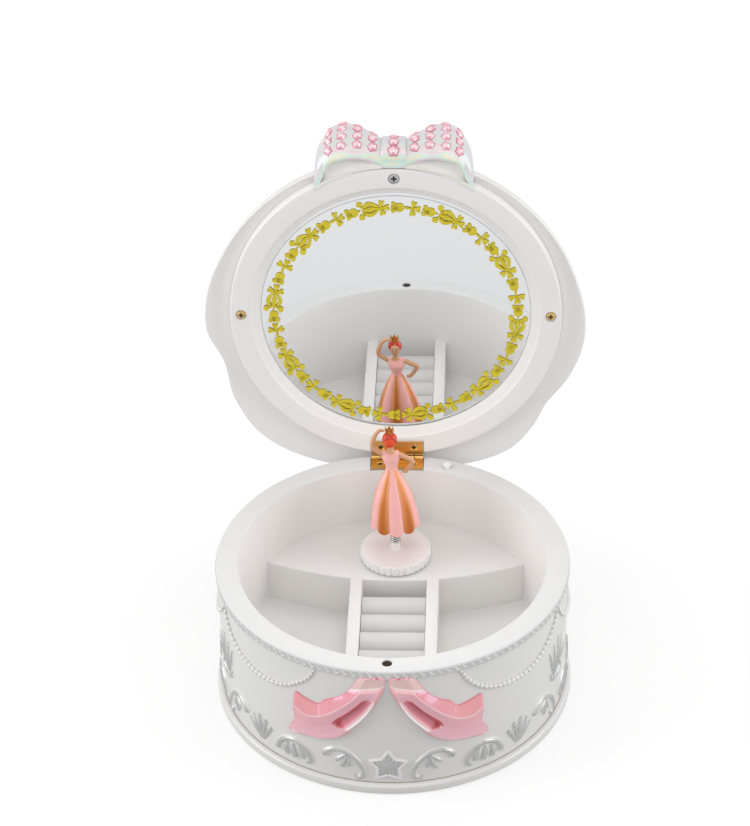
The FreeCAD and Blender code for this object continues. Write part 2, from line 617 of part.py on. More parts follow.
def round_wire(points):
    curve = Part.BSplineCurve()
    curve.interpolate(points, PeriodicFlag=True)
    return Part.Wire([curve.toShape()])


def brim_wire(level, share, lobes, inset=0.0):
    """The lid's lobed outline at a height, scaled and with its lobes faded."""
    mean = float(S.lid_mean)
    points = []
    for angle, radius in BRIM_OUTLINE:
        reach = share * (mean + lobes * (radius - mean)) - inset
        turn = math.radians(angle)
        points.append(vector(reach * math.cos(turn), -float(S.hinge_back) - reach * math.sin(turn), level))
    return round_wire(points)


def circle_wire(level, radius):
    points = [vector(radius * math.cos(math.radians(angle)),
                     -float(S.hinge_back) - radius * math.sin(math.radians(angle)), level)
              for angle, _ in BRIM_OUTLINE]
    return round_wire(points)


def dome_solid():
    return Part.makeLoft([brim_wire(*section) for section in DOME_SECTIONS], True, True)


def lid_round(radius, low, high):
    return Part.makeCylinder(float(radius), float(high) - float(low), vector(0, -S.hinge_back, low))


def build_lid_shell(dome):
    seat = S.lid_gap + S.frame_deep
    under = float(S.brim_level - S.hair_gap)
    pocket_radius = S.frame_radius + S.frame_play
    cove = Part.makeLoft([brim_wire(under, DOME_SECTIONS[0][1], 1.0, float(S.brim_edge)),
                          circle_wire(float(S.cove_level), float(S.cove_radius))], True, True)
    groove = cove.cut(lid_round(pocket_radius, seat, S.cove_level + S.overrun))
    cavity = Part.makeLoft([circle_wire(*section) for section in CAVITY_SECTIONS], True, True)
    pocket = lid_round(pocket_radius, under - S.overrun, seat)
    shell = dome.cut(groove).cut(pocket).cut(cavity)
    pilot_long = S.lid_gap + S.lid_screw_sunk + S.lid_screw_end + S.end_play
    for x, y in lid_screw_places():
        shell = shell.cut(Part.makeCylinder(float(S.pilot_radius), float(pilot_long), vector(x, y, 0)))
    on_lid(shaped("LidShell", shell), "lid_shell")


def on_ring(x):
    """Reach of the mirror frame's edge at a distance from the middle."""
    return math.sqrt(float(S.bow_inner) ** 2 - x * x)


def bow_section(x, side, corners):
    """A closed section across a loop: foot, lip, crest, top and back as reach and height."""
    middle_y = -float(S.hinge_back)
    places = [vector(side * x, middle_y - reach, level) for reach, level in corners]
    foot, lip, crest, top, back = places
    edges = (Part.LineSegment(foot, lip), Part.Arc(lip, crest, top), Part.LineSegment(top, back),
             Part.LineSegment(back, foot))
    return Part.Wire([edge.toShape() for edge in edges])


def loop_section(station, side):
    """The outside of a loop at one station."""
    x, lip, crest, depth = station
    low = float(S.bow_low)
    return bow_section(x, side, (
        (on_ring(x), low), (lip, low), (crest, (low + depth) / 2), (lip, depth),
        (on_ring(x), depth * BOW_BACK)))


def mouth_section(station, side):
    """The hollow of a loop at one station, drawn in towards the loop's middle."""
    x, lip, crest, depth = station
    middle = float(S.bow_middle)
    inside_x = middle + (x - middle) * float(S.bow_shrink)
    ring = on_ring(inside_x)
    foot = ring + (lip - ring) * MOUTH_BACK
    front = ring + (lip - ring) * MOUTH_LIP
    under = -float(S.overrun)
    return bow_section(inside_x, side, (
        (foot, under), (front, under), (ring + (crest - ring) * MOUTH_CREST, depth * MOUTH_TOP),
        (front, depth * MOUTH_DEEP), (foot, depth * MOUTH_DEEP)))


def build_bow(dome):
    for label, side in (("bow_loop_left", -1.0), ("bow_loop_right", 1.0)):
        loop = Part.makeLoft([loop_section(station, side) for station in BOW_STATIONS], True, True)
        mouth = Part.makeLoft([mouth_section(station, side) for station in BOW_STATIONS], True, True)
        on_lid(shaped(label + "Loop", loop.cut(mouth).cut(dome)), label)
    back = -float(S.hinge_back)
    half = float(S.knot_half)
    deep = float(S.knot_front) - float(S.bow_inner)
    block = Part.makeBox(2 * half, deep, float(S.knot_high) - float(S.bow_low),
                         vector(-half, back - float(S.knot_front), S.bow_low))
    long_edges = [edge for edge in block.Edges if abs(edge.CenterOfMass.y - block.BoundBox.YMin) < EPSILON]
    knot = block.makeFillet(half * float(S.knot_round), long_edges).cut(dome)
    on_lid(shaped("BowKnot", knot), "bow_knot")


# Turntable and dancer

def coil(radius, wire, pitch, low, high, x, y):
    """A round wire wound in a helix between two heights."""
    height = float(high) - float(low) - 2 * float(wire)
    helix = Part.makeHelix(float(pitch), height, float(radius))
    section = Part.Wire([Part.makeCircle(float(wire), vector(radius, 0, 0), Y_AXIS)])
    solid = Part.Wire(helix.Edges).makePipeShell([section], True, True)
    solid.translate(vector(x, y, low + wire))
    return solid


def build_turntable():
    disc = lathe("TurntableDisc", (
        (0, S.table_low + S.shaft_grip), (S.table_shaft, S.table_low + S.shaft_grip),
        (S.table_shaft, S.table_low),
        (S.table_radius, S.table_low), (S.table_radius, S.table_top - S.table_edge),
        (S.table_radius - S.table_edge, S.table_top), (S.table_boss, S.table_top),
        (S.table_boss, S.table_boss_top), (0, S.table_boss_top)))
    doc.recompute()
    whole = disc.Shape.Volume
    flute = disc.newObject("Sketcher::SketchObject", "FluteOutline")
    flute.AttachmentSupport = [(plane(disc, "XY_Plane"), "")]
    flute.MapMode = "FlatFace"
    flute_middle = S.table_radius + S.flute_out
    flute.addGeometry(Part.Circle(vector(flute_middle, 0, 0), Z_AXIS, float(S.flute_radius)), False)
    flute.addConstraint(Sketcher.Constraint("PointOnObject", 0, 3, -1))
    reach = flute.addConstraint(Sketcher.Constraint("DistanceX", -1, 1, 0, 3, flute_middle.number))
    flute.setExpression(f"Constraints[{reach}]", flute_middle.text)
    round_size = flute.addConstraint(Sketcher.Constraint("Radius", 0, float(S.flute_radius)))
    flute.setExpression(f"Constraints[{round_size}]", S.flute_radius.text)
    pocket = disc.newObject("PartDesign::Pocket", "Flute")
    pocket.Profile = flute
    pocket.Type = "ThroughAll"
    pocket.Reversed = True
    doc.recompute()
    ring = disc.newObject("PartDesign::PolarPattern", "Flutes")
    ring.Originals = [pocket]
    ring.Axis = (flute, ["N_Axis"])
    ring.Angle = FULL_TURN
    ring.Occurrences = count_of(S.flute_count)
    disc.Tip = ring
    doc.recompute()
    if disc.Shape.Volume > whole - float(S.flute_count):
        raise RuntimeError("the flutes cut nothing")
    stand(disc, 0, S.table_y, 0)
    node(disc, "turntable_disc")
    shaft_low = S.bed_low + S.end_play
    shaft_long = S.table_low + S.shaft_grip - shaft_low
    node(cylinder("TurntableShaft", S.table_shaft, shaft_long, 0, S.table_y, shaft_low), "turntable_shaft")
    lower = coil(S.coil_radius, S.coil_wire, S.coil_pitch, S.table_boss_top, S.coil_low_top, 0, S.table_y)
    node(shaped("SpringLower", lower), "spring_lower")
    upper_low = S.fold_level + S.hair_gap
    upper = coil(S.coil_radius, S.coil_wire, S.coil_pitch, upper_low, S.coil_high_top, 0, S.table_y)
    node(shaped("SpringUpper", upper), "spring_upper")


def build_dancer():
    inside = S.hem_radius - S.skirt_wall
    sides = tuple((S.hem_radius * share, S.hem_level + rise) for share, rise in SKIRT_PROFILE)
    skirt = lathe("DancerSkirt", (
        (inside, S.hem_level), (S.hem_radius, S.hem_level), *sides, (S.waist_radius, S.waist_level),
        (0, S.waist_level), (0, S.dancer_pin_top), (S.dancer_pin, S.dancer_pin_top),
        (S.dancer_pin, S.dancer_pin_top - S.skirt_socket)))
    node(stand(skirt, 0, S.table_y, 0), "dancer_skirt")
    pin_low = S.hem_level - S.dancer_pin_drop
    node(cylinder("DancerPin", S.dancer_pin, S.dancer_pin_top - pin_low, 0, S.table_y, pin_low), "dancer_pin")
    trunk = lathe("DancerTrunk", (
        (0, S.waist_level), (S.waist_radius, S.waist_level),
        (S.shoulder_half, S.shoulder_level - S.chest_drop),
        (S.shoulder_half * S.shoulder_share, S.shoulder_level),
        (S.arm_radius, S.shoulder_level + S.neck_rise),
        (S.arm_radius, S.chin_level + S.neck_lap), (0, S.chin_level + S.neck_lap)))
    stand(trunk, 0, S.table_y, 0)
    head = doc.addObject("Part::Ellipsoid", "DancerHead")
    bind(head, {"Radius1": (S.head_top - S.chin_level) / 2, "Radius2": S.head_half, "Radius3": S.head_half})
    stand(head, 0, S.table_y, (S.head_top + S.chin_level) / 2)
    crown_low = S.head_top - S.crown_lap
    crown = cone("DancerCrown", S.crown_radius * S.crown_share, S.crown_radius, S.crown_top - crown_low,
                 0, S.table_y, crown_low)
    arms = []
    for joints in (RAISED_ARM, HIP_ARM):
        places = [vector(x, S.table_y, z) for x, z in joints]
        for start, end in zip(places, places[1:]):
            bone = end - start
            arms.append(Part.makeCylinder(float(S.arm_radius), bone.Length, start, bone))
        arms.extend(Part.makeSphere(float(S.arm_radius), place) for place in places)
    limbs = shaped("DancerArms", arms[0].multiFuse(arms[1:]))
    node(fuse("DancerFigure", trunk, head, crown, limbs), "dancer_figure")


# Stop plunger under the lid's edge

def build_plunger():
    pin = cylinder("PlungerPin", S.plunger_radius, S.rim_top + S.plunger_travel - S.plunger_low,
                   S.plunger_x, S.plunger_y, S.plunger_low)
    collar = cylinder("PlungerCollar", S.collar_radius, S.collar_top - S.collar_low,
                      S.plunger_x, S.plunger_y, S.collar_low)
    node(fuse("StopPlunger", pin, collar), "stop_plunger")
    spring = coil(S.stop_coil, S.stop_coil_wire, S.stop_coil_pitch, S.seat_top, S.collar_low,
                  S.plunger_x, S.plunger_y)
    node(shaped("PlungerSpring", spring), "plunger_spring")
    fly_x, fly_y = fly_place()
    tail = (fly_x - S.fly_radius - S.wire_clear, fly_y + S.wire_side)
    route = [vector(S.plunger_x, S.plunger_y, S.plunger_low), vector(S.plunger_x, S.plunger_y, S.wire_level),
             vector(S.plunger_x, fly_y + S.wire_bend, S.wire_level), vector(*tail, S.wire_level),
             vector(*tail, S.wire_end)]
    pieces = []
    for start, end in zip(route, route[1:]):
        pieces.append(Part.makeCylinder(float(S.wire_radius), (end - start).Length, start, end - start))
    pieces.extend(Part.makeSphere(float(S.wire_radius), place) for place in route[1:-1])
    node(shaped("StopWire", pieces[0].multiFuse(pieces[1:])), "stop_wire")


# Movement

def pitch_radius(teeth):
    return S.module_size * teeth / 2


def spur_gear(teeth, thick, bore):
    """An involute spur gear about Z, a tooth at angle 0, thinned for free running."""
    count = count_of(teeth)
    size = float(S.module_size)
    pitch = size * count / 2
    base = pitch * math.cos(PRESSURE_ANGLE)
    tip = pitch + ADDENDUM * size
    root = pitch - DEDENDUM * size
    half = (math.pi * size / 2 - float(S.backlash) / 2) / (2 * pitch)
    spread = half + math.tan(PRESSURE_ANGLE) - PRESSURE_ANGLE

    def flank(radius):
        roll = math.acos(min(1.0, base / radius))
        return spread - (math.tan(roll) - roll)

    radii = [root, max(base, root + EPSILON), pitch, tip]
    points = []
    for tooth in range(count):
        middle = 2 * math.pi * tooth / count
        sides = [(radius, middle - flank(radius)) for radius in radii]
        sides += [(radius, middle + flank(radius)) for radius in reversed(radii)]
        points += [vector(radius * math.cos(turn), radius * math.sin(turn), 0) for radius, turn in sides]
    face = Part.Face(Part.makePolygon(points + points[:1]))
    gear = face.extrude(vector(0, 0, thick))
    return gear.cut(Part.makeCylinder(float(bore), float(thick), vector(0, 0, 0)))


def upright_gear(name, teeth, thick, bore, x, y, z, turn):
    place = FreeCAD.Placement(vector(x, y, z), FreeCAD.Rotation(Z_AXIS, turn))
    return shaped(name, spur_gear(teeth, thick, bore), place)


def lying_gear(name, teeth, thick, bore, x, y, z, turn):
    """A gear on an axis along X: its angles run from +Y towards +Z."""
    spin = FreeCAD.Rotation(X_AXIS, turn)
    lay = FreeCAD.Rotation(Y_AXIS, Z_AXIS, X_AXIS)
    return shaped(name, spur_gear(teeth, thick, bore), FreeCAD.Placement(vector(x, y, z), spin * lay))


def mesh_angle():
    """Direction from the turntable's axis to the barrel's, in degrees."""
    return math.degrees(math.atan2(float(S.barrel_y) - float(S.table_y), float(S.barrel_x)))


def half_tooth(teeth):
    return FULL_TURN / float(teeth) / 2


def governor_y():
    return S.barrel_y - pitch_radius(S.wheel_teeth) - pitch_radius(S.pinion_teeth) - S.mesh_play


def fly_place():
    return (S.worm_wheel_left + S.wheel_wide / 2,
            governor_y() - pitch_radius(S.worm_wheel_teeth) - S.worm_radius - S.mesh_play)


def build_bedplate():
    fly_x, fly_y = fly_place()
    lug_top = S.axis_level + S.lug_high
    low_governor = governor_y() - S.lug_half
    pieces = [
        box("Bed", (-S.bed_right, S.bed_right), (S.bed_front, S.bed_back), (S.bed_low, S.bed_top)),
        box("BedWing", (-S.bed_left, -S.bed_right + S.overrun), (S.wing_front, S.bed_back),
            (S.bed_low, S.bed_top)),
        box("BedTail", (-S.tail_left, S.bed_right), (S.bed_back - S.overrun, S.bed_far),
            (S.bed_low, S.bed_top)),
        box("CombBlock", (S.cylinder_left - S.lap, S.cylinder_left + S.cylinder_long + S.lap),
            (S.comb_root + S.end_play, S.comb_back), (S.bed_low, S.axis_level - S.comb_thick / 2)),
        box("NearLug", (S.cylinder_left - S.near_lug, S.cylinder_left - S.near_gap),
            (S.barrel_y - S.near_half, S.barrel_y + S.near_half), (S.bed_low, lug_top)),
        box("MiddleLug", (S.lug_left, S.lug_left + S.lug_wide), (low_governor, S.barrel_y + S.lug_high),
            (S.bed_low, lug_top)),
        box("OuterLug", (S.outer_lug, S.outer_lug + S.lug_wide), (low_governor, governor_y() + S.lug_half),
            (S.bed_low, lug_top))]
    play = S.shaft_play
    under = S.bed_low - S.overrun
    near_end = S.cylinder_left - S.near_lug - S.overrun
    far_end = S.outer_lug + S.lug_wide + S.overrun
    holes = [
        cylinder("BedArborHole", S.arbor_radius + play, S.bed_top, S.barrel_x, S.barrel_y, under),
        cylinder("BedShaftHole", S.table_shaft + play, S.bed_top, 0, S.table_y, under),
        cylinder("BedFlyHole", S.fly_pivot + play, S.bed_top, fly_x, fly_y, under),
        cylinder("CylinderBore", S.cylinder_arbor + play, far_end - near_end, near_end, S.barrel_y,
                 S.axis_level, LAY_ALONG_X),
        cylinder("GovernorBore", S.governor_arbor + play, far_end - S.lug_left + S.overrun,
                 S.lug_left - S.overrun, governor_y(), S.axis_level, LAY_ALONG_X)]
    for i, (x, y) in enumerate(post_places()):
        holes.append(cylinder(f"BedPilot{i}", S.pilot_radius, S.bed_top - S.bed_low - S.pilot_skin,
                              x, y, S.bed_low))
    for i, x in enumerate(comb_screw_places()):
        holes.append(cylinder(f"CombPilot{i}", S.comb_screw, S.comb_pilot, x, comb_screw_y(),
                              S.axis_level - S.comb_pilot))
    node(cut("Bedplate", fuse("BedSolid", *pieces), *holes), "movement_bedplate")


def comb_screw_places():
    return tuple(S.cylinder_left + S.cylinder_long * share for share in COMB_SCREWS)


def comb_screw_y():
    return (S.comb_root + S.comb_back) / 2


def build_comb():
    low = S.axis_level - S.comb_thick / 2
    high = S.axis_level + S.comb_thick / 2
    tip = S.barrel_y + S.cylinder_radius + S.pin_high + S.comb_gap
    pitch = S.cylinder_long / S.note_count
    pieces = [box("CombBack", (S.cylinder_left, S.cylinder_left + S.cylinder_long), (S.comb_root, S.comb_back),
                  (low, high))]
    for note in range(count_of(S.note_count)):
        middle = S.cylinder_left + pitch * (note + 0.5)
        pieces.append(box(f"Tooth{note}", (middle - S.comb_tooth / 2, middle + S.comb_tooth / 2),
                          (tip, S.comb_root + S.end_play), (low, high)))
    holes = [cylinder(f"CombHole{i}", S.comb_screw, S.comb_pilot, x, comb_screw_y(), low - S.overrun)
             for i, x in enumerate(comb_screw_places())]
    node(cut("Comb", fuse("CombSolid", *pieces), *holes), "comb")
    screws = []
    for i, x in enumerate(comb_screw_places()):
        head = cylinder(f"CombScrewHead{i}", S.comb_screw * 2, S.comb_head, x, comb_screw_y(), high)
        stem = cylinder(f"CombScrewStem{i}", S.comb_screw, S.comb_screw_long, x, comb_screw_y(),
                        high - S.comb_screw_long)
        screws.append(fuse(f"CombScrew{i}", head, stem))
    node(group("CombScrews", *screws), "comb_screws")


def build_barrel():
    gear = upright_gear("BarrelGear", S.barrel_teeth, S.gear_thick, S.arbor_radius + S.arbor_play,
                        S.barrel_x, S.barrel_y, S.gear_low,
                        mesh_angle() + HALF_TURN + half_tooth(S.barrel_teeth))
    floor = S.gear_low + S.gear_thick
    drum = lathe("BarrelDrum", (
        (S.drum_cavity, floor - S.end_play), (S.drum_radius, floor - S.end_play),
        (S.drum_radius, S.drum_top), (S.drum_cavity, S.drum_top)))
    stand(drum, S.barrel_x, S.barrel_y, 0)
    node(fuse("SpringBarrel", gear, drum), "spring_barrel")
    cover = Part.makeCylinder(float(S.drum_radius), float(S.cover_top - S.drum_top), vector(0, 0, S.drum_top))
    mean = float(pitch_radius(S.crown_teeth))
    width = float(S.crown_width)
    foot = float(S.crown_foot) / 2
    tip = float(S.crown_tip) / 2
    low = float(S.cover_top - S.hair_gap)
    high = float(S.cover_top + S.crown_tooth)
    outline = ((-foot, low), (foot, low), (tip, high), (-tip, high))
    corners = [vector(mean - width / 2, y, z) for y, z in outline]
    tooth = Part.Face(Part.makePolygon(corners + corners[:1])).extrude(vector(width, 0, 0))
    teeth = []
    for index in range(count_of(S.crown_teeth)):
        one = tooth.copy()
        one.rotate(vector(0, 0, 0), Z_AXIS, FULL_TURN * index / float(S.crown_teeth))
        teeth.append(one)
    hole = Part.makeCylinder(float(S.arbor_radius + S.arbor_play), float(S.arbor_top), vector(0, 0, 0))
    place = FreeCAD.Placement(vector(S.barrel_x, S.barrel_y, 0), UPRIGHT)
    node(shaped("BarrelCover", cover.multiFuse(teeth).cut(hole), place), "barrel_cover")


def build_mainspring():
    """A flat strip wound in a spiral between the arbor and the drum."""
    strip = float(S.strip_thick) / 2
    inner = float(S.arbor_radius + S.arbor_play + S.spring_inset)
    outer = float(S.drum_cavity - S.spring_out)
    steps = count_of(S.spring_turns) * SPIRAL_STEPS

    def side(offset):
        points = []
        for step in range(steps + 1):
            turn = 2 * math.pi * float(S.spring_turns) * step / steps
            radius = inner + (outer - inner) * step / steps + offset
            points.append(vector(radius * math.cos(turn), radius * math.sin(turn), 0))
        curve = Part.BSplineCurve()
        curve.interpolate(points)
        return curve.toShape(), points[0], points[-1]

    inside, inside_start, inside_end = side(-strip)
    outside, outside_start, outside_end = side(strip)
    rim = Part.Wire([inside, Part.makeLine(inside_end, outside_end), outside,
                     Part.makeLine(outside_start, inside_start)])
    low = S.gear_low + S.gear_thick + S.end_play
    solid = Part.Face(rim).extrude(vector(0, 0, S.drum_top - S.end_play - low))
    place = FreeCAD.Placement(vector(S.barrel_x, S.barrel_y, low), UPRIGHT)
    node(shaped("Mainspring", solid, place), "mainspring")


def build_winding():
    low = S.key_low + S.key_step
    node(cylinder("WindingArbor", S.arbor_radius, S.arbor_top - low, S.barrel_x, S.barrel_y, low),
         "winding_arbor")
    middle = (S.key_low + S.key_top) / 2
    lobe = (S.key_top - S.key_low) / 2
    blade_start = S.barrel_y + S.key_blade / 2
    lie = FreeCAD.Rotation(X_AXIS, QUARTER_TURN)
    pieces = [cylinder("KeyHub", S.key_hub, S.key_hub_top - low, S.barrel_x, S.barrel_y, low)]
    holes = [cylinder("KeyBore", S.arbor_radius, S.key_hub_top, S.barrel_x, S.barrel_y, low)]
    for name, side in (("Left", -1.0), ("Right", 1.0)):
        x = S.barrel_x + (S.key_half - lobe) * side
        pieces.append(cylinder(f"KeyWing{name}", lobe, S.key_blade, x, blade_start, middle, lie))
        holes.append(cylinder(f"KeyEye{name}", lobe * S.key_eye, S.key_blade * 2, x,
                              blade_start + S.key_blade / 2, middle, lie))
    pieces.append(box("KeyBar", (S.barrel_x - S.key_half + lobe, S.barrel_x + S.key_half - lobe),
                      (S.barrel_y - S.key_blade / 2, blade_start),
                      (middle - lobe * S.bar_low, middle + lobe * S.bar_high)))
    node(cut("WindingKey", fuse("KeySolid", *pieces), *holes), "winding_key")
    count = count_of(S.ratchet_teeth)
    tip = float(S.ratchet_radius)
    root = float(S.ratchet_radius * S.ratchet_root)
    points = []
    for index in range(count):
        turn = 2 * math.pi * index / count
        for radius in (tip, root):
            points.append(vector(radius * math.cos(turn), radius * math.sin(turn), 0))
    star = Part.Face(Part.makePolygon(points + points[:1])).extrude(vector(0, 0, S.ratchet_thick))
    star = star.cut(Part.makeCylinder(float(S.arbor_radius), float(S.ratchet_thick), vector(0, 0, 0)))
    place = FreeCAD.Placement(vector(S.barrel_x, S.barrel_y, S.ratchet_low), UPRIGHT)
    node(shaped("RatchetWheel", star, place), "ratchet_wheel")
    post_x = S.barrel_x - pitch_radius(S.barrel_teeth) - S.click_out
    top = S.ratchet_low + S.ratchet_thick
    post = cylinder("ClickPost", S.click_post, top - S.bed_top, post_x, S.barrel_y, S.bed_top)
    arm = box("ClickArm", (post_x, S.barrel_x - S.ratchet_radius - S.click_gap),
              (S.barrel_y - S.click_half, S.barrel_y + S.click_half), (S.ratchet_low, top))
    node(fuse("ClickSpring", post, arm), "click_spring")


def build_cylinder():
    node(cylinder_with_bore("Cylinder", S.cylinder_radius, S.cylinder_arbor, S.cylinder_left, S.cylinder_long),
         "cylinder")
    arbor_left = S.barrel_x + pitch_radius(S.crown_teeth) - S.pinion_wide
    arbor_right = S.lug_left + S.lug_wide + S.end_play
    node(cylinder("CylinderArbor", S.cylinder_arbor, arbor_right - arbor_left, arbor_left, S.barrel_y,
                  S.axis_level, LAY_ALONG_X), "cylinder_arbor")
    pinion_left = S.barrel_x + pitch_radius(S.crown_teeth) - S.pinion_wide / 2
    node(lying_gear("CylinderPinion", S.pinion_teeth, S.pinion_wide, S.cylinder_arbor, pinion_left, S.barrel_y,
                    S.axis_level, half_tooth(S.pinion_teeth) - QUARTER_TURN), "cylinder_pinion")
    node(lying_gear("CylinderGear", S.wheel_teeth, S.wheel_wide, S.cylinder_arbor, S.wheel_left, S.barrel_y,
                    S.axis_level, HALF_TURN), "cylinder_gear")
    pins = []
    pitch = float(S.cylinder_long) / float(S.note_count)
    for note in range(count_of(S.note_count)):
        x = float(S.cylinder_left) + pitch * (note + 0.5)
        for beat in range(count_of(S.beat_count)):
            step = (note * NOTE_STEP + beat * BEAT_STEP) % TUNE_STEPS
            turn = math.radians(FULL_TURN * step / TUNE_STEPS + TUNE_START)
            way = vector(0, math.cos(turn), math.sin(turn))
            foot = vector(x, S.barrel_y, S.axis_level) + way * float(S.cylinder_radius - S.pin_root)
            pins.append(Part.makeCylinder(float(S.pin_round), float(S.pin_high + S.pin_root), foot, way))
    node(shaped("CylinderPins", Part.makeCompound(pins)), "cylinder_pins")


def cylinder_with_bore(name, radius, bore, left, long):
    outer = cylinder(name + "Round", radius, long, left, S.barrel_y, S.axis_level, LAY_ALONG_X)
    inner = cylinder(name + "Bore", bore, long, left, S.barrel_y, S.axis_level, LAY_ALONG_X)
    return cut(name, outer, inner)


def build_governor():
    y = governor_y()
    left = S.wheel_left - S.lap
    right = S.outer_lug + S.lug_wide
    node(cylinder("GovernorArbor", S.governor_arbor, right - left, left, y, S.axis_level, LAY_ALONG_X),
         "governor_arbor")
    node(lying_gear("GovernorPinion", S.pinion_teeth, S.wheel_wide, S.governor_arbor, S.wheel_left, y,
                    S.axis_level, half_tooth(S.pinion_teeth)), "governor_pinion")
    node(lying_gear("GovernorWheel", S.worm_wheel_teeth, S.wheel_wide, S.governor_arbor, S.worm_wheel_left, y,
                    S.axis_level, HALF_TURN), "governor_wheel")
    fly_x, fly_y = fly_place()
    column_left = fly_x + S.fly_radius + S.lap
    across = (fly_y - S.bracket_half, fly_y + S.bracket_half)
    column = box("BracketColumn", (column_left, column_left + S.lug_wide), across, (S.bed_top, S.bracket_top))
    arm = box("BracketArm", (fly_x - S.bracket_nose, column_left + S.overrun), across,
              (S.bracket_low, S.bracket_top))
    hole = cylinder("BracketHole", S.fly_pivot + S.shaft_play, S.bracket_top, fly_x, fly_y,
                    S.bracket_low - S.overrun)
    node(cut("GovernorBracket", fuse("BracketSolid", column, arm), hole), "governor_bracket")


def build_fly():
    fly_x, fly_y = fly_place()
    lead = math.pi * float(S.module_size)
    low = float(S.worm_low)
    high = float(S.worm_top)
    root = float(S.worm_root)
    tip = float(S.worm_radius) + ADDENDUM * float(S.module_size)
    sunk = root - float(S.end_play)
    foot_half = float(S.thread_foot)
    tip_half = float(S.thread_tip)
    helix = Part.makeHelix(lead, high - low - lead, root)
    outline = ((sunk, -foot_half), (tip, -tip_half), (tip, tip_half), (sunk, foot_half))
    corners = [vector(x, 0, z) for x, z in outline]
    thread = Part.Wire(helix.Edges).makePipeShell([Part.makePolygon(corners + corners[:1])], True, True)
    thread.translate(vector(0, 0, low + lead / 2))
    core = Part.makeCylinder(root, high - low, vector(0, 0, low))
    pivot_low = S.bed_low + S.pivot_lift
    pivot_long = S.bracket_top - S.end_play - pivot_low
    pivot = Part.makeCylinder(float(S.fly_pivot), float(pivot_long), vector(0, 0, pivot_low))
    worm = core.fuse(pivot).fuse(thread)
    # The thread faces the wheel's tooth with a gap, half a lead from it.
    rise = (float(S.axis_level) - low - lead / 2) % lead
    turn = QUARTER_TURN - FULL_TURN * (rise / lead) + HALF_TURN
    place = FreeCAD.Placement(vector(fly_x, fly_y, 0), FreeCAD.Rotation(Z_AXIS, turn))
    node(shaped("FlyWorm", worm, place), "fly_worm")
    hub = cylinder("FlyHub", S.fly_pivot + S.fly_hub, S.fly_top - S.fly_low, fly_x, fly_y, S.fly_low)
    blade = box("FlyBlade", (fly_x - S.fly_radius, fly_x + S.fly_radius),
                (fly_y - S.fly_blade, fly_y + S.fly_blade), (S.fly_low, S.fly_top))
    bore = cylinder("FlyBore", S.fly_pivot, S.fly_top, fly_x, fly_y, S.fly_low - S.overrun)
    node(cut("FlyVane", fuse("FlySolid", hub, blade), bore), "fly_vane")


def build_turntable_gear():
    node(upright_gear("TurntableGear", S.table_teeth, S.gear_thick, S.table_shaft, 0, S.table_y, S.gear_low,
                      mesh_angle()), "turntable_gear")


def build_all():
    build_shell()
    build_base()
    build_base_screws()
    build_tray()
    build_ring_rolls()
    build_magnet()
    build_ribbons()
    build_lower_leaf()
    build_lower_screws()
    build_upper_leaf()
    build_mirror_frame()
    build_lid_screws()
    dome = dome_solid()
    build_lid_shell(dome)
    build_bow(dome)
    build_turntable()
    build_turntable_gear()
    build_dancer()
    build_plunger()
    build_bedplate()
    build_comb()
    build_barrel()
    build_mainspring()
    build_winding()
    build_cylinder()
    build_governor()
    build_fly()


def check_and_write():
    doc.recompute()
    for thing in doc.Objects:
        if "Invalid" in thing.State or "Error" in thing.State:
            raise RuntimeError(f"{thing.Label} did not recompute: {thing.State}")
    for piece in NODES:
        if piece.Shape.isNull() or not piece.Shape.isValid():
            raise RuntimeError(f"{piece.Label} has no valid shape")
    os.makedirs("parts", exist_ok=True)
    for piece in NODES:
        piece.Shape.exportStep(f"parts/{piece.Label}.step")
        print(piece.Label, len(piece.Shape.Solids), "solids", round(piece.Shape.Volume, 1), "mm3")


build_all()
check_and_write()
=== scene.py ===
"""The looks of a wind up music box: a round white case with an open mirrored lid, a bow and a dancer.

Sizes in the classes are millimetres in the part's own frame: the origin is the middle of the rest face,
+Z is up and the front of the box faces -Y.
"""

import json
import logging
import math
from dataclasses import dataclass, field
from enum import Enum, IntEnum
from typing import Callable, Iterable, Sequence

import bmesh
import bpy
from mathutils import Matrix, Vector

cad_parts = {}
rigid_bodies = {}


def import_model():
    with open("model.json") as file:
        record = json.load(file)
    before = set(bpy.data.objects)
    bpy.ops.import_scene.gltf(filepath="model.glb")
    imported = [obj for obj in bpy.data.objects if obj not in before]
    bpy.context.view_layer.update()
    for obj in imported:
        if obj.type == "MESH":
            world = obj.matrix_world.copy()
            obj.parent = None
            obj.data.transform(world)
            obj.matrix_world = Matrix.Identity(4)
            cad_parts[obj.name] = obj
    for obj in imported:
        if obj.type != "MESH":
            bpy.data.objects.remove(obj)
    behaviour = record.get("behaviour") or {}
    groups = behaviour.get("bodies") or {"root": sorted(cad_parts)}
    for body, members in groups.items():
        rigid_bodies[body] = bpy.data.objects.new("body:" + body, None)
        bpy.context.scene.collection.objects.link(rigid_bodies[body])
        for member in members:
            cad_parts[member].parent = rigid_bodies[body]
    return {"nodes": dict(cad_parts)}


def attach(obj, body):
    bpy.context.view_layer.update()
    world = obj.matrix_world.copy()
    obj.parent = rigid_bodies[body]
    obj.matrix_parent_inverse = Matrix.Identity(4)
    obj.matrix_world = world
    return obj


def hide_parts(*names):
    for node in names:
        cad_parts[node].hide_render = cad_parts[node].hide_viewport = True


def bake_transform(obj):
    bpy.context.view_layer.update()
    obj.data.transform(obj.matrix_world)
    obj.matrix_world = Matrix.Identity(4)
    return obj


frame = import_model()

MM = 0.001
FULL = 2.0 * math.pi
AXIS = (0.0, 0.0)
# Faces round the case and the lid's ring
ROUND = 200
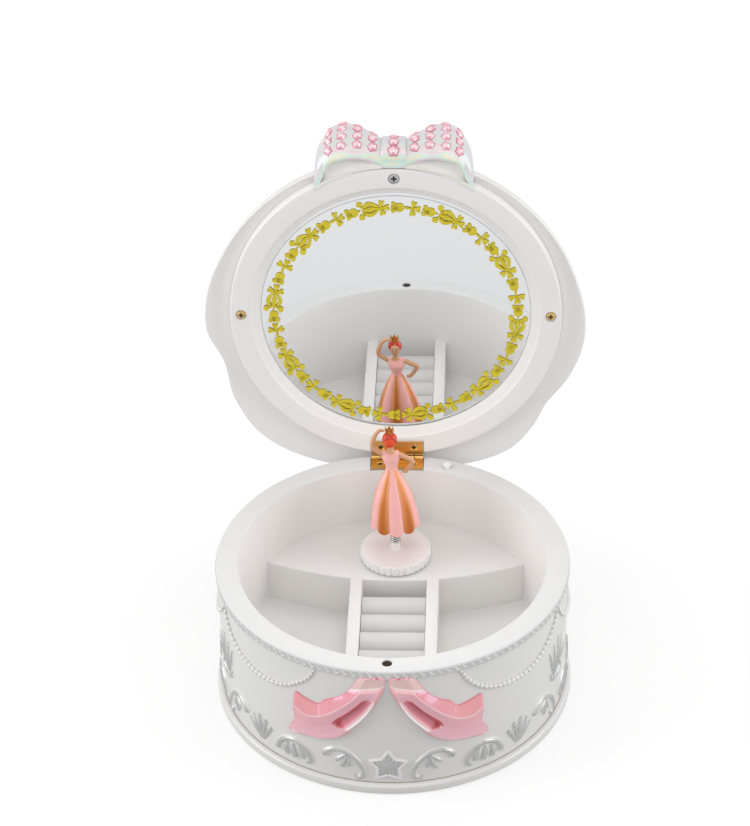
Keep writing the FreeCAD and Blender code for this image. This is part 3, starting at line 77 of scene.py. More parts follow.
# Edges sharper than this many degrees stay sharp
CREASE = 35.0
Triple = tuple[float, float, float]
Pair = tuple[float, float]
Colour = tuple[float, float, float]
Place = Sequence[float]
Path = Sequence[Place]
Setting = tuple[Place, Place, float]
Slice = tuple[float, list[Triple]]

log = logging.getLogger("music_box")


class Body(Enum):
    """The moving bodies that pieces ride on."""

    CASE = "case"
    LID = "lid"
    TURNTABLE = "turntable"
    LINK = "dancer_link"
    DANCER = "dancer"
    PLUNGER = "plunger"


class Shade:
    """A value in a material's node tree that can be calculated with."""

    def __init__(self, tree: bpy.types.NodeTree, socket: bpy.types.NodeSocket | None = None) -> None:
        """Stands for a socket of a tree, or for the tree alone at the start."""
        self.tree = tree
        self.socket = socket

    def node(self, kind: str, settings: dict | None = None, inputs: dict | None = None,
             output: int | str = 0) -> "Shade":
        """Adds a node.

        Args:
            kind: Blender's name of the node type.
            settings: properties set before the sockets.
            inputs: values or Shades for the sockets, by name or number.
            output: which output the new Shade stands for.

        Returns:
            The chosen output.
        """
        made = self.tree.nodes.new(kind)
        for key, value in (settings or {}).items():
            setattr(made, key, value)
        for key, value in (inputs or {}).items():
            self.plug(made.inputs[key], value)
        return Shade(self.tree, made.outputs[output])

    def plug(self, socket: bpy.types.NodeSocket, value: "Shade | float | tuple") -> None:
        """Links a Shade to a socket, or sets a plain value on it.

        Args:
            socket: the input that is set.
            value: what goes into it.
        """
        if isinstance(value, Shade):
            self.tree.links.new(value.socket, socket)
        else:
            socket.default_value = value

    def math(self, operation: str, *values: "Shade | float") -> "Shade":
        """One step of arithmetic on numbers."""
        return self.node("ShaderNodeMath", {"operation": operation}, dict(enumerate(values)))

    def __add__(self, other: "Shade | float") -> "Shade":
        """This value and another added."""
        return self.math("ADD", self, other)

    def __radd__(self, other: float) -> "Shade":
        """A number and this value added."""
        return self.math("ADD", other, self)

    def __sub__(self, other: "Shade | float") -> "Shade":
        """Another value taken from this one."""
        return self.math("SUBTRACT", self, other)

    def __rsub__(self, other: float) -> "Shade":
        """This value taken from a number."""
        return self.math("SUBTRACT", other, self)

    def __mul__(self, other: "Shade | float") -> "Shade":
        """This value times another."""
        return self.math("MULTIPLY", self, other)

    def __rmul__(self, other: float) -> "Shade":
        """A number times this value."""
        return self.math("MULTIPLY", other, self)

    def __truediv__(self, other: "Shade | float") -> "Shade":
        """This value divided by another."""
        return self.math("DIVIDE", self, other)

    def __rtruediv__(self, other: float) -> "Shade":
        """A number divided by this value."""
        return self.math("DIVIDE", other, self)

    def steps(self, low: float, high: float) -> "Shade":
        """This value, stretched so that low becomes 0 and high becomes 1, and held between them."""
        return self.node("ShaderNodeMapRange", {"clamp": True}, {0: self, 1: low, 2: high})

    def mix(self, first: "Shade | Colour", second: "Shade | Colour") -> "Shade":
        """Two colours mixed, this value being the share of the second."""
        pair = [c if isinstance(c, Shade) else (*c, 1.0) for c in (first, second)]
        return self.node("ShaderNodeMix", {"data_type": "RGBA"}, {0: self, 6: pair[0], 7: pair[1]}, 2)

    def noise(self, scale: float, detail: float = 3.0) -> "Shade":
        """Soft noise on these coordinates."""
        return self.node("ShaderNodeTexNoise", None, {"Vector": self, "Scale": scale, "Detail": detail})


@dataclass(frozen=True)
class Finish:
    """A material of two close colours in soft patches, with a fine grain on its surface."""

    name: str
    colours: tuple[Colour, ...]
    roughness: float = 0.35
    metallic: float = 0.0
    coat: float = 0.0
    coat_roughness: float = 0.08
    patches: float = 45.0
    contrast: Pair = (0.3, 0.7)
    unevenness: float = 0.2
    grain: float = 1800.0
    grain_height: float = 0.0002
    relief: float = 0.03
    film: float = 0.0
    specular: float = 0.5

    def make(self) -> bpy.types.Material:
        """Makes the material the first time it is asked for.

        Returns:
            The material.
        """
        if self.name in bpy.data.materials:
            return bpy.data.materials[self.name]
        material = bpy.data.materials.new(self.name)
        material.use_nodes = True
        tree = material.node_tree
        skin = tree.nodes["Principled BSDF"]
        start = Shade(tree)
        where = start.node("ShaderNodeTexCoord", output="Object")
        for socket, value in (("Metallic", self.metallic), ("Coat Weight", self.coat),
                              ("Coat Roughness", self.coat_roughness), ("Thin Film Thickness", self.film),
                              ("Specular IOR Level", self.specular)):
            skin.inputs[socket].default_value = value
        start.plug(skin.inputs["Base Color"], self.tone(where))
        spread = where.noise(self.patches * 3.0)
        share = self.roughness * self.unevenness
        start.plug(skin.inputs["Roughness"], (spread - 0.5) * share + self.roughness)
        start.plug(skin.inputs["Normal"], self.surface(where))
        return material

    def tone(self, where: Shade) -> Shade:
        """The colour at a place."""
        return where.noise(self.patches).steps(*self.contrast).mix(*self.colours)

    def surface(self, where: Shade) -> Shade:
        """The fine relief at a place."""
        return where.node("ShaderNodeBump", None, {
            "Height": where.noise(self.grain, 4.0), "Strength": self.relief, "Distance": self.grain_height})


@dataclass(frozen=True)
class Pearl(Finish):
    """A pearly finish whose hue runs through several tones along the mesh's own sheen value, which paints in
    a pearly sheen and, on some parts, highlights and shade.
    """

    stir: float = 0.16

    def tone(self, where: Shade) -> Shade:
        """Mixes the tones by the mesh's sheen, a little stirred by noise.

        Args:
            where: the place's coordinates.

        Returns:
            The colour there.
        """
        sheen = where.node("ShaderNodeAttribute", {"attribute_name": "sheen"}, output="Fac")
        level = sheen + (where.noise(self.patches) - 0.5) * self.stir
        last = len(self.colours) - 1
        made: Shade | Colour = self.colours[0]
        for i in range(last):
            made = level.steps(i / last, (i + 1) / last).mix(made, self.colours[i + 1])
        return made


@dataclass(frozen=True)
class Brushed(Finish):
    """Metal with fine lines along one direction."""

    stretch: Triple = (30.0, 900.0, 900.0)
    line_share: float = 0.6

    def tone(self, where: Shade) -> Shade:
        """Lays darker and lighter hairlines over the soft patches.

        Args:
            where: the place's coordinates.

        Returns:
            The colour there.
        """
        lines = where.node("ShaderNodeVectorMath", {"operation": "MULTIPLY"}, {0: where, 1: self.stretch})
        share = lines.noise(1.0) * self.line_share + where.noise(self.patches) * (1.0 - self.line_share)
        return share.steps(*self.contrast).mix(*self.colours)


@dataclass(frozen=True)
class Lifted(Finish):
    """A pale ground that looks whiter to the eye and in mirrors than it lights its surroundings.

    Near and far give the strength of that lift and the distance in metres from the middle.
    """

    near: Pair = (0.58, 0.11)
    far: Pair = (0.76, 0.4)
    mirrored: float = 0.7

    def make(self) -> bpy.types.Material:
        """Makes the material and adds the lift to what is seen of it.

        Returns:
            The material.
        """
        material = super().make()
        start = Shade(material.node_tree)
        skin = material.node_tree.nodes["Principled BSDF"]
        where = start.node("ShaderNodeTexCoord", output="Object")
        reach = start.node("ShaderNodeVectorMath", {"operation": "LENGTH"}, {0: where}, "Value")
        lift = reach.steps(self.near[1], self.far[1]) * (self.far[0] - self.near[0]) + self.near[0]
        skin.inputs["Emission Strength"].default_value = 1.0
        glow = (seen(start, self.mirrored) * lift).mix((0.0, 0.0, 0.0), (1.0, 1.0, 1.0))
        start.plug(skin.inputs["Emission Color"], glow)
        return material


class Wear(Enum):
    """Which finish each kind of surface has: its name, colours and roughness, and what else is its own."""

    SHELL = Finish("shell_white_gloss", ((0.89, 0.875, 0.865), (0.885, 0.868, 0.858)), 0.3, coat=0.15,
                   relief=0.006)
    # Painted shade: a darker copy of the lid's white for the dome at the lid's back.
    DOME = Finish("dome_white_gloss", ((0.80, 0.788, 0.78), (0.795, 0.782, 0.774)), 0.3, coat=0.15,
                  relief=0.006)
    # Painted shade: a darker copy of the case's white for the outer wall and the base, standing in for the
    # shade on the wall's front.
    WALL = Finish("wall_white_pearl", ((0.75, 0.745, 0.74), (0.745, 0.74, 0.735)), 0.3, coat=0.25,
                  relief=0.006)
    # Painted shade: a darker copy of the tray's white for the rim's top faces.
    RIM = Finish("rim_white_satin", ((0.735, 0.73, 0.73), (0.728, 0.723, 0.723)), 0.4, relief=0.006)
    # Painted shade: a darker copy of the case's white for the tray, stage and aisle, standing in for the
    # shade inside the tray.
    TRAY = Finish("tray_white_satin", ((0.815, 0.80, 0.785), (0.808, 0.793, 0.778)), 0.42, relief=0.006)
    ROLL = Finish("roll_white_satin", ((0.66, 0.65, 0.64), (0.65, 0.64, 0.63)), 0.55, grain=900.0,
                  relief=0.06)
    RELIEF = Finish("relief_silver", ((0.48, 0.49, 0.485), (0.57, 0.575, 0.57)), 0.28, metallic=0.5,
                    patches=90.0)
    STAR = Finish("star_silver", ((0.34, 0.345, 0.345), (0.41, 0.415, 0.41)), 0.3, metallic=0.5, patches=90.0)
    BAND = Finish("braid_ground_silver", ((0.55, 0.555, 0.555), (0.60, 0.605, 0.60)), 0.35, metallic=0.3,
                  patches=90.0)
    PEARLS = Finish("pearl_white", ((0.80, 0.795, 0.79), (0.78, 0.775, 0.775)), 0.34, patches=120.0)
    # The darkest salmon is painted shade in the hollow; the palest tone is a painted highlight on the ridge,
    # crease and roll.
    RIBBON = Pearl("ribbon_pink_pearl", ((0.66, 0.16, 0.175), (0.86, 0.32, 0.34), (0.90, 0.45, 0.47),
                                         (0.90, 0.51, 0.56), (0.90, 0.63, 0.56), (0.96, 0.90, 0.90)),
                   0.16, coat=0.8, film=380.0, patches=90.0, stir=0.08)
    # The hues along the lip are a painted pearly sheen; the palest tone lights the pocket under the lip as
    # painted light.
    BOW = Pearl("bow_white_pearl", ((0.72, 0.71, 0.69), (0.94, 0.71, 0.82), (0.70, 0.92, 0.85),
                                    (0.94, 0.90, 0.70), (0.93, 0.88, 0.91)),
                0.16, coat=0.7, film=420.0, patches=70.0)
    # The deepest pink is the seat, partly its own colour and partly painted shade round the stone; the palest
    # is a painted reflection on the facets.
    GEM = Pearl("gem_pink", ((0.60, 0.16, 0.22), (0.88, 0.42, 0.49), (0.97, 0.84, 0.87)),
                0.08, coat=1.0, patches=300.0, film=350.0)
    MIRROR = Finish("mirror_silvered", ((0.80, 0.815, 0.82), (0.805, 0.82, 0.825)), 0.012, metallic=1.0,
                    patches=8.0, relief=0.0)
    WREATH = Finish("wreath_gold_print", ((0.74, 0.62, 0.03), (0.64, 0.52, 0.02)), 0.45, metallic=0.1,
                    patches=500.0, relief=0.08)
    CARD = Finish("card_brown", ((0.55, 0.45, 0.34), (0.47, 0.38, 0.28)), 0.85, patches=200.0, relief=0.2)
    BRASS = Brushed("brass_brushed", ((0.86, 0.54, 0.19), (0.64, 0.37, 0.11)), 0.3, metallic=1.0)
    SCREW_BRASS = Brushed("screw_brass", ((0.72, 0.50, 0.20), (0.60, 0.40, 0.14)), 0.2, metallic=1.0)
    STEEL = Brushed("steel_brushed", ((0.56, 0.56, 0.57), (0.42, 0.42, 0.43)), 0.25, metallic=1.0)
    CHROME = Brushed("chrome_brushed", ((0.66, 0.66, 0.67), (0.46, 0.46, 0.47)), 0.2, metallic=1.0)
    ZINC = Finish("zinc_cast", ((0.50, 0.50, 0.51), (0.42, 0.42, 0.43)), 0.45, metallic=1.0, relief=0.12)
    MAGNET = Finish("magnet_black", ((0.03, 0.02, 0.014), (0.05, 0.035, 0.022)), 0.6, patches=600.0,
                    specular=0.1)
    SEAL = Finish("mirror_edge_grey", ((0.45, 0.46, 0.47), (0.55, 0.56, 0.57)), 0.4, patches=300.0)
    SEAM = Finish("seam_tan", ((0.42, 0.33, 0.24), (0.34, 0.26, 0.19)), 0.6, patches=300.0)
    # Black for the fly's vanes, and painted shade for the screws' cross recesses and the hinge's gaps.
    DARK = Finish("screw_recess_dark", ((0.012, 0.012, 0.012), (0.03, 0.03, 0.03)), 0.6, patches=900.0,
                  specular=0.1)
    DISC = Finish("turntable_white_pink", ((0.90, 0.81, 0.81), (0.89, 0.80, 0.80)), 0.4)
    SKIN = Finish("dancer_skin_paint", ((0.66, 0.36, 0.20), (0.62, 0.33, 0.18)), 0.42, patches=250.0)
    DRESS = Finish("dress_pink_paint", ((0.90, 0.46, 0.43), (0.87, 0.42, 0.40)), 0.32, coat=0.3,
                   patches=160.0)
    # The lighter, pinker copper is a painted sheen towards the top and the gore edges.
    COPPER = Pearl("dress_copper_paint", ((0.44, 0.10, 0.006), (0.56, 0.17, 0.022), (0.80, 0.33, 0.16)),
                   0.36, metallic=0.15, patches=160.0)
    # The darker reds are painted shade between the hair's locks.
    HAIR = Pearl("hair_red_paint", ((0.76, 0.07, 0.012), (0.62, 0.035, 0.008), (0.30, 0.010, 0.004)),
                 0.34, patches=420.0)
    CROWN = Finish("crown_bronze_paint", ((0.72, 0.38, 0.09), (0.40, 0.16, 0.035)), 0.3, metallic=0.7,
                   patches=400.0)
    FACE_LIGHT = Finish("eye_white_paint", ((0.8, 0.8, 0.78), (0.75, 0.75, 0.73)), 0.3, patches=600.0)
    FACE_DARK = Finish("eye_dark_paint", ((0.03, 0.02, 0.015), (0.05, 0.03, 0.02)), 0.3, patches=600.0)
    LIPS = Finish("lip_red_paint", ((0.62, 0.06, 0.06), (0.55, 0.05, 0.05)), 0.3, patches=600.0)
    FLOOR = Lifted("floor_pale", ((0.42, 0.42, 0.42), (0.41, 0.41, 0.41)), 0.9, patches=3.0, relief=0.0)


class Form:
    """A mesh in the making, drawn in millimetres."""

    def __init__(self) -> None:
        """Starts with no points and no faces."""
        self.points: list[Vector] = []
        self.sheens: list[float] = []
        self.faces: list[tuple[int, ...]] = []
        self.tints: list[int] = []

    def point(self, place: Place, sheen: float = 0.0) -> int:
        """Adds one point.

        Args:
            place: where it is.
            sheen: its sheen.

        Returns:
            The point's number.
        """
        self.points.append(Vector(place))
        self.sheens.append(sheen)
        return len(self.points) - 1

    def face(self, corners: Iterable[int], tint: int = 0) -> None:
        """Adds one face on points already there."""
        self.faces.append(tuple(corners))
        self.tints.append(tint)

    def sheet(self, rows: Sequence[Path], around: bool = False, loop: bool = False, tint: int = 0,
              sheens: Sequence[Sequence[float]] | None = None,
              caps: bool = False, tint_of: Callable[[int, int], int] | None = None) -> None:
        """Joins rows of places with four-cornered faces.

        Args:
            rows: rows of equal length.
            around: the last place of a row meets the first.
            loop: the last row meets the first.
            tint: number of the finish.
            sheens: a sheen for each place.
            caps: the first and last row are closed with one face each.
            tint_of: the finish by row and column, where it changes.
        """
        width = len(rows[0])
        first = len(self.points)
        for i, row in enumerate(rows):
            for j, place in enumerate(row):
                self.point(place, sheens[i][j] if sheens else 0.0)
        for i in range(len(rows) if loop else len(rows) - 1):
            below = first + i * width
            above = first + (i + 1) % len(rows) * width
            for j in range(width if around else width - 1):
                k = (j + 1) % width
                self.face((below + j, below + k, above + k, above + j), tint_of(i, j) if tint_of else tint)
        if caps:
            self.face(range(first + width - 1, first - 1, -1), tint)
            top = first + (len(rows) - 1) * width
            self.face(range(top, top + width), tint)

    def lathe(self, profile: Sequence[Pair], steps: int = 160, middle: Place = AXIS,
              tint: int = 0) -> None:
        """Turns a closed outline about an upright axis.

        Args:
            profile: the outline as radius and height.
            steps: how many faces go round.
            middle: where the axis stands.
            tint: number of the finish.
        """
        turns = [FULL * i / steps for i in range(steps)]
        rows = [[about(middle, radius, turn, level) for radius, level in profile] for turn in turns]
        self.sheet(rows, around=True, loop=True, tint=tint)

    def tube(self, path: Path, radii: Sequence[float] | float, sides: int = 10, tint: int = 0,
             flat: float = 1.0) -> None:
        """A round bar along a path, with closed ends.

        Args:
            path: the places it goes through.
            radii: one radius for all places or one for each.
            sides: how many faces go round it.
            tint: number of the finish.
            flat: how thick it is across compared with its width.
        """
        places = [Vector(p) for p in path]
        sizes = [radii] * len(places) if isinstance(radii, (int, float)) else list(radii)
        rows = []
        side = None
        for i, place in enumerate(places):
            along = (places[min(i + 1, len(places) - 1)] - places[max(i - 1, 0)]).normalized()
            if side is None:
                side = along.orthogonal().normalized()
            side = (side - along * side.dot(along)).normalized()
            across = along.cross(side)
            rows.append([place + sizes[i] * (side * math.cos(FULL * k / sides)
                                             + across * math.sin(FULL * k / sides) * flat)
                         for k in range(sides)])
        self.sheet(rows, around=True, tint=tint, caps=True)

    def ball(self, middle: Place, radii: Place, tint: int = 0, rings: int = 10, sides: int = 16) -> None:
        """A ball, or an egg where its radii differ.

        Args:
            middle: its middle.
            radii: its size along X, Y and Z.
            tint: number of the finish.
            rings: faces from bottom to top.
            sides: faces round it.
        """
        rows = []
        for i in range(rings + 1):
            lift = math.pi * i / rings
            wide, deep = (radius * math.sin(lift) for radius in radii[:2])
            rows.append(circle(middle, wide, deep, middle[2] - radii[2] * math.cos(lift), sides))
        self.sheet(rows, around=True, tint=tint)

    def slab(self, outline: Sequence[Pair], low: float, high: float, rounding: float = 0.5,
             tint: int = 0, steps: int = 4) -> None:
        """An upright block with its top edge rounded.

        Args:
            outline: its plan, which runs left-handed about its middle.
            low: height of its foot.
            high: height of its top.
            rounding: radius of the top edge.
            tint: number of the finish.
            steps: faces on the rounding.
        """
        count = len(outline)
        normals = []
        for i in range(count):
            before, after = Vector(outline[i - 1]), Vector(outline[(i + 1) % count])
            run = (after - before).normalized()
            normals.append(Vector((-run.y, run.x)))
        rows = [[(x, y, low) for x, y in outline]]
        for k in range(steps + 1):
            turn = math.pi / 2 * k / steps
            inset = rounding * (1 - math.cos(turn))
            level = high - rounding * (1 - math.sin(turn))
            rows.append([(x + normals[i].x * inset, y + normals[i].y * inset, level)
                         for i, (x, y) in enumerate(outline)])
        self.sheet(rows, around=True, tint=tint, caps=True)

    def change(self, move: Callable[[Vector], Place]) -> "Form":
        """Moves every point by a rule and gives the form back."""
        self.points = [Vector(move(p)) for p in self.points]
        return self

    def make(self, name: str, wears: Sequence[Wear], crease: float = CREASE,
             faceted: bool = False) -> bpy.types.Object:
        """Makes the object.

        Args:
            name: the object's name.
            wears: the finishes, in the order of the tints.
            crease: edges sharper than this angle in degrees stay sharp.
            faceted: each face keeps one sheen of its own instead of a blend between its corners.

        Returns:
            The object, at the origin.
        """
        shape = bmesh.new()
        layer = (shape.faces if faceted else shape.verts).layers.float.new("sheen")
        made = [shape.verts.new(place * MM) for place in self.points]
        for vert, sheen in zip([] if faceted else made, self.sheens):
            vert[layer] = sheen
        for corners, tint in zip(self.faces, self.tints):
            if len(set(corners)) < 3:
                continue
            face = shape.faces.new([made[c] for c in corners])
            face.material_index = tint
            if faceted:
                face[layer] = self.sheens[corners[0]]
        bmesh.ops.remove_doubles(shape, verts=shape.verts, dist=1e-6)
        bmesh.ops.dissolve_degenerate(shape, edges=shape.edges, dist=1e-7)
        bmesh.ops.recalc_face_normals(shape, faces=shape.faces)
        mesh = bpy.data.meshes.new(name)
        shape.to_mesh(mesh)
        shape.free()
        for wear in wears:
            mesh.materials.append(wear.value.make())
        smooth(mesh, crease)
        return shown(name, mesh)


def shown(name: str, data: bpy.types.ID) -> bpy.types.Object:
    """Puts a new object with this data into the scene.

    Args:
        name: the object's name.
        data: its mesh, camera or light.

    Returns:
        The object, at the origin.
    """
    made = bpy.data.objects.new(name, data)
    bpy.context.scene.collection.objects.link(made)
    return made


def circle(middle: Place, wide: float, deep: float, level: float, sides: int) -> list[Triple]:
    """A level ring of places, or an oval where its width and depth differ."""
    turns = [FULL * k / sides for k in range(sides)]
    return [(middle[0] + wide * math.cos(turn), middle[1] + deep * math.sin(turn), level) for turn in turns]


def about(middle: Place, radius: float, angle: float, level: float) -> Triple:
    """A place about an upright axis, the angle counted from the front to the right."""
    return middle[0] + radius * math.sin(angle), middle[1] - radius * math.cos(angle), level


def hoop(inner: float, outer: float, low: float, high: float) -> list[Pair]:
    """The square section of a hoop, for the lathe."""
    return [(inner, low), (outer, low), (outer, high), (inner, high)]


def between(a: Vector | float, b: Vector | float, c: Vector | float, d: Vector | float,
            t: float) -> Vector | float:
    """What lies a share t of the way from b to c, on a smooth line that comes from a and goes on to d."""
    return 0.5 * (2 * b + (c - a) * t + (2 * a - 5 * b + 4 * c - d) * t * t
                  + (3 * b - a - 3 * c + d) * t ** 3)


def smooth(mesh: bpy.types.Mesh, crease: float) -> None:
    """Shades a mesh smooth but for its sharp edges.

    Args:
        mesh: the mesh.
        crease: edges sharper than this angle in degrees stay sharp.
    """
    mesh.polygons.foreach_set("use_smooth", [crease > 0.0] * len(mesh.polygons))
    if crease > 0.0:
        mesh.set_sharp_from_angle(angle=math.radians(crease))


def settled(made: bpy.types.Object) -> bpy.types.Object:
    """Turns an object with modifiers into a plain mesh object.

    Args:
        made: the object.

    Returns:
        The same object, with the mesh that the modifiers gave.
    """
    bpy.context.view_layer.update()
    graph = bpy.context.evaluated_depsgraph_get()
    mesh = bpy.data.meshes.new_from_object(made.evaluated_get(graph), depsgraph=graph)
    made.modifiers.clear()
    made.data = mesh
    return made


def carve(made: bpy.types.Object, cutter: Form) -> bpy.types.Object:
    """Cuts a form out of an object.

    Args:
        made: the object.
        cutter: what is cut away.

    Returns:
        The same object.
    """
    tool = cutter.make("cutter", ())
    cut = made.modifiers.new("cut", "BOOLEAN")
    cut.operation = "DIFFERENCE"
    cut.solver = "EXACT"
    cut.object = tool
    settled(made)
    bpy.data.objects.remove(tool)
    return made


def spline(points: Path, steps: int, closed: bool = False) -> list[Vector]:
    """A smooth path through points.

    Args:
        points: the places it passes.
        steps: how many steps there are between two places.
        closed: the path comes back to its start.

    Returns:
        The places along the path; a closed path doesn't repeat its first place.
    """
    spots = [Vector(p) for p in points]
    count = len(spots)
    path = []
    for i in range(count if closed else count - 1):
        if closed:
            a, b, c, d = (spots[(i + k) % count] for k in (-1, 0, 1, 2))
        else:
            a, b, c, d = (spots[min(max(i + k, 0), count - 1)] for k in (-1, 0, 1, 2))
        path += [between(a, b, c, d, k / steps) for k in range(steps)]
    if not closed:
        path.append(spots[-1])
    return path


def line_at(points: Sequence[Pair], x: float) -> float:
    """Reads a broken line.

    Args:
        points: its corners, from left to right.
        x: where it is read.

    Returns:
        The line's height at x.
    """
    if x <= points[0][0]:
        return points[0][1]
    for (x0, y0), (x1, y1) in zip(points, points[1:]):
        if x <= x1:
            return y0 + (y1 - y0) * (x - x0) / (x1 - x0)
    return points[-1][1]


def turned(profile: Sequence[Pair], corners: dict[int, float], steps: int = 5) -> list[Pair]:
    """A closed outline with some of its corners rounded.

    Args:
        profile: the corners in order.
        corners: the rounding of a corner by its number.
        steps: points on each rounding.

    Returns:
        The rounded outline.
    """
    outline = []
    count = len(profile)
    for i, corner in enumerate(profile):
        size = corners.get(i, 0.0)
        here = Vector(corner)
        if size <= 0.0:
            outline.append(tuple(here))
            continue
        before = (Vector(profile[i - 1]) - here).normalized() * size
        after = (Vector(profile[(i + 1) % count]) - here).normalized() * size
        for k in range(steps + 1):
            t = k / steps
            outline.append(tuple(here + before * (1 - t) ** 2 + after * t * t))
    return outline


class Weaver:
    """Geometry Nodes trees that repeat a shape along paths or at places, or follow paths with a bar."""

    def __init__(self, name: str, inputs: dict[str, str]) -> None:
        """Starts a tree.

        Args:
            name: the tree's name.
            inputs: socket types by the name of each input beside the geometry.
        """
        self.tree = bpy.data.node_groups.new(name, "GeometryNodeTree")
        face = self.tree.interface
        face.new_socket("Geometry", in_out="INPUT", socket_type="NodeSocketGeometry")
        self.ids = {key: face.new_socket(key, in_out="INPUT", socket_type=kind).identifier
                    for key, kind in inputs.items()}
        face.new_socket("Geometry", in_out="OUTPUT", socket_type="NodeSocketGeometry")
        self.start = self.tree.nodes.new("NodeGroupInput")

    def given(self, name: str) -> Shade:
        """One of the tree's inputs."""
        return Shade(self.tree, self.start.outputs[name])

    def node(self, kind: str, settings: dict | None = None, inputs: dict | None = None,
             output: int | str = 0) -> Shade:
        """Adds a node, as Shade.node does."""
        return Shade(self.tree).node(kind, settings, inputs, output)

    def attribute(self, name: str, kind: str = "FLOAT") -> Shade:
        """A named value on the points of the mesh."""
        return self.node("GeometryNodeInputNamedAttribute", {"data_type": kind}, {"Name": name})

    def end(self, shapes: Shade) -> None:
        """Realizes the instances, sets the material and closes the tree.

        Args:
            shapes: the geometry so far.
        """
        real = self.node("GeometryNodeRealizeInstances", None, {"Geometry": shapes})
        worn = self.node("GeometryNodeSetMaterial", None,
                         {"Geometry": real, "Material": self.given("Material")})
        self.tree.links.new(worn.socket, self.tree.nodes.new("NodeGroupOutput").inputs[0])

    def weave(self, made: bpy.types.Object, crease: float, **values: object) -> bpy.types.Object:
        """Runs the tree on an object and keeps the result as its plain mesh.

        Args:
            made: the object.
            crease: edges sharper than this angle in degrees stay sharp.
            values: the tree's inputs by name.

        Returns:
            The same object.
        """
        step = made.modifiers.new("weave", "NODES")
        step.node_group = self.tree
        for key, value in values.items():
            step[self.ids[key]] = value
        settled(made)
        smooth(made.data, crease)
        return made

    @staticmethod
    def lines(name: str, strokes: Sequence[Sequence[Place]]) -> bpy.types.Object:
        """Makes a mesh of open lines.

        Args:
            name: the object's name.
            strokes: the lines; the fourth number of a place is its thickness.

        Returns:
            The object.
        """
        mesh = bpy.data.meshes.new(name)
        points, edges, sizes = [], [], []
        for stroke in strokes:
            first = len(points)
            points += [Vector(p[:3]) * MM for p in stroke]
            sizes += [p[3] * MM for p in stroke]
            edges += [(first + i, first + i + 1) for i in range(len(stroke) - 1)]
        mesh.from_pydata(points, edges, [])
        mesh.attributes.new("thick", "FLOAT", "POINT").data.foreach_set("value", sizes)
        return shown(name, mesh)

    @staticmethod
    def spots(name: str, places: Sequence[Setting]) -> bpy.types.Object:
        """Makes a mesh of loose points.

        Args:
            name: the object's name.
            places: for each point its place, its turn as Euler angles and its size.

        Returns:
            The object.
        """
        mesh = bpy.data.meshes.new(name)
        mesh.from_pydata([Vector(p) * MM for p, _, _ in places], [], [])
        turns = [value for _, turn, _ in places for value in turn]
        mesh.attributes.new("turn", "FLOAT_VECTOR", "POINT").data.foreach_set("vector", turns)
        mesh.attributes.new("grow", "FLOAT", "POINT").data.foreach_set("value", [g for _, _, g in places])
        return shown(name, mesh)


def bead_weaver() -> Weaver:
    """Beads threaded on lines, each as large as the line is thick there.

    Returns:
        The tree.
    """
    weaver = Weaver("Beads on lines", {"Spacing": "NodeSocketFloat", "Material": "NodeSocketMaterial"})
    thread = weaver.node("GeometryNodeMeshToCurve", None, {"Mesh": weaver.given("Geometry")})
    even = weaver.node("GeometryNodeResampleCurve", {"mode": "LENGTH"},
                       {"Curve": thread, "Length": weaver.given("Spacing")})
    bead = weaver.node("GeometryNodeMeshUVSphere", None, {"Segments": 10, "Rings": 7, "Radius": 1.0})
    set_out = weaver.node("GeometryNodeInstanceOnPoints", None,
                          {"Points": even, "Instance": bead, "Scale": weaver.attribute("thick")})
    weaver.end(set_out)
    return weaver


def bar_weaver() -> Weaver:
    """Round bars that follow lines, as thick as the line is at each place.

    Returns:
        The tree.
    """
    weaver = Weaver("Bars on lines", {"Sides": "NodeSocketInt", "Material": "NodeSocketMaterial"})
    thread = weaver.node("GeometryNodeMeshToCurve", None, {"Mesh": weaver.given("Geometry")})
    ring = weaver.node("GeometryNodeCurvePrimitiveCircle", None,
                       {"Resolution": weaver.given("Sides"), "Radius": 1.0})
    bars = weaver.node("GeometryNodeCurveToMesh", None, {
        "Curve": thread, "Profile Curve": ring, "Scale": weaver.attribute("thick"), "Fill Caps": True})
    weaver.end(bars)
    return weaver


def spot_weaver() -> Weaver:
    """One shape set out at places, turned and sized by the values of each place.

    Returns:
        The tree.
    """
    weaver = Weaver("Shape at places", {"Shape": "NodeSocketObject", "Material": "NodeSocketMaterial"})
    shape = weaver.node("GeometryNodeObjectInfo", None, {"Object": weaver.given("Shape")}, "Geometry")
    turn = weaver.node("FunctionNodeEulerToRotation", None,
                       {"Euler": weaver.attribute("turn", "FLOAT_VECTOR")})
    set_out = weaver.node("GeometryNodeInstanceOnPoints", None, {
        "Points": weaver.given("Geometry"), "Instance": shape, "Rotation": turn,
        "Scale": weaver.attribute("grow")})
    weaver.end(set_out)
    return weaver


def scatter(weaver: Weaver, name: str, shape: Form, places: Sequence[Setting],
            wear: Wear, crease: float = CREASE) -> bpy.types.Object:
    """Sets a form out at places as one plain mesh.

    Args:
        weaver: the tree that sets it out.
        name: the object's name.
        shape: the form.
        places: place, turn and size of each copy.
        wear: its finish.
        crease: edges sharper than this angle in degrees stay sharp; at 0 each face is flat.

    Returns:
        The object.
    """
    model = shape.make(f"{name}_model", (wear,), faceted=crease == 0.0)
    made = weaver.weave(weaver.spots(name, places), crease, Shape=model, Material=wear.value.make())
    bpy.data.objects.remove(model)
    return made


def settle(made: bpy.types.Object, body: Body, slot: str, *nodes: str) -> None:
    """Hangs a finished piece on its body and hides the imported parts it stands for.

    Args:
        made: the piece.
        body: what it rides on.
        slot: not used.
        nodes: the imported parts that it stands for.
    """
    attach(made, body.value)
    if nodes:
        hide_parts(*nodes)
    log.info("%s rides on %s, %d faces", made.name, body.value, len(made.data.polygons))


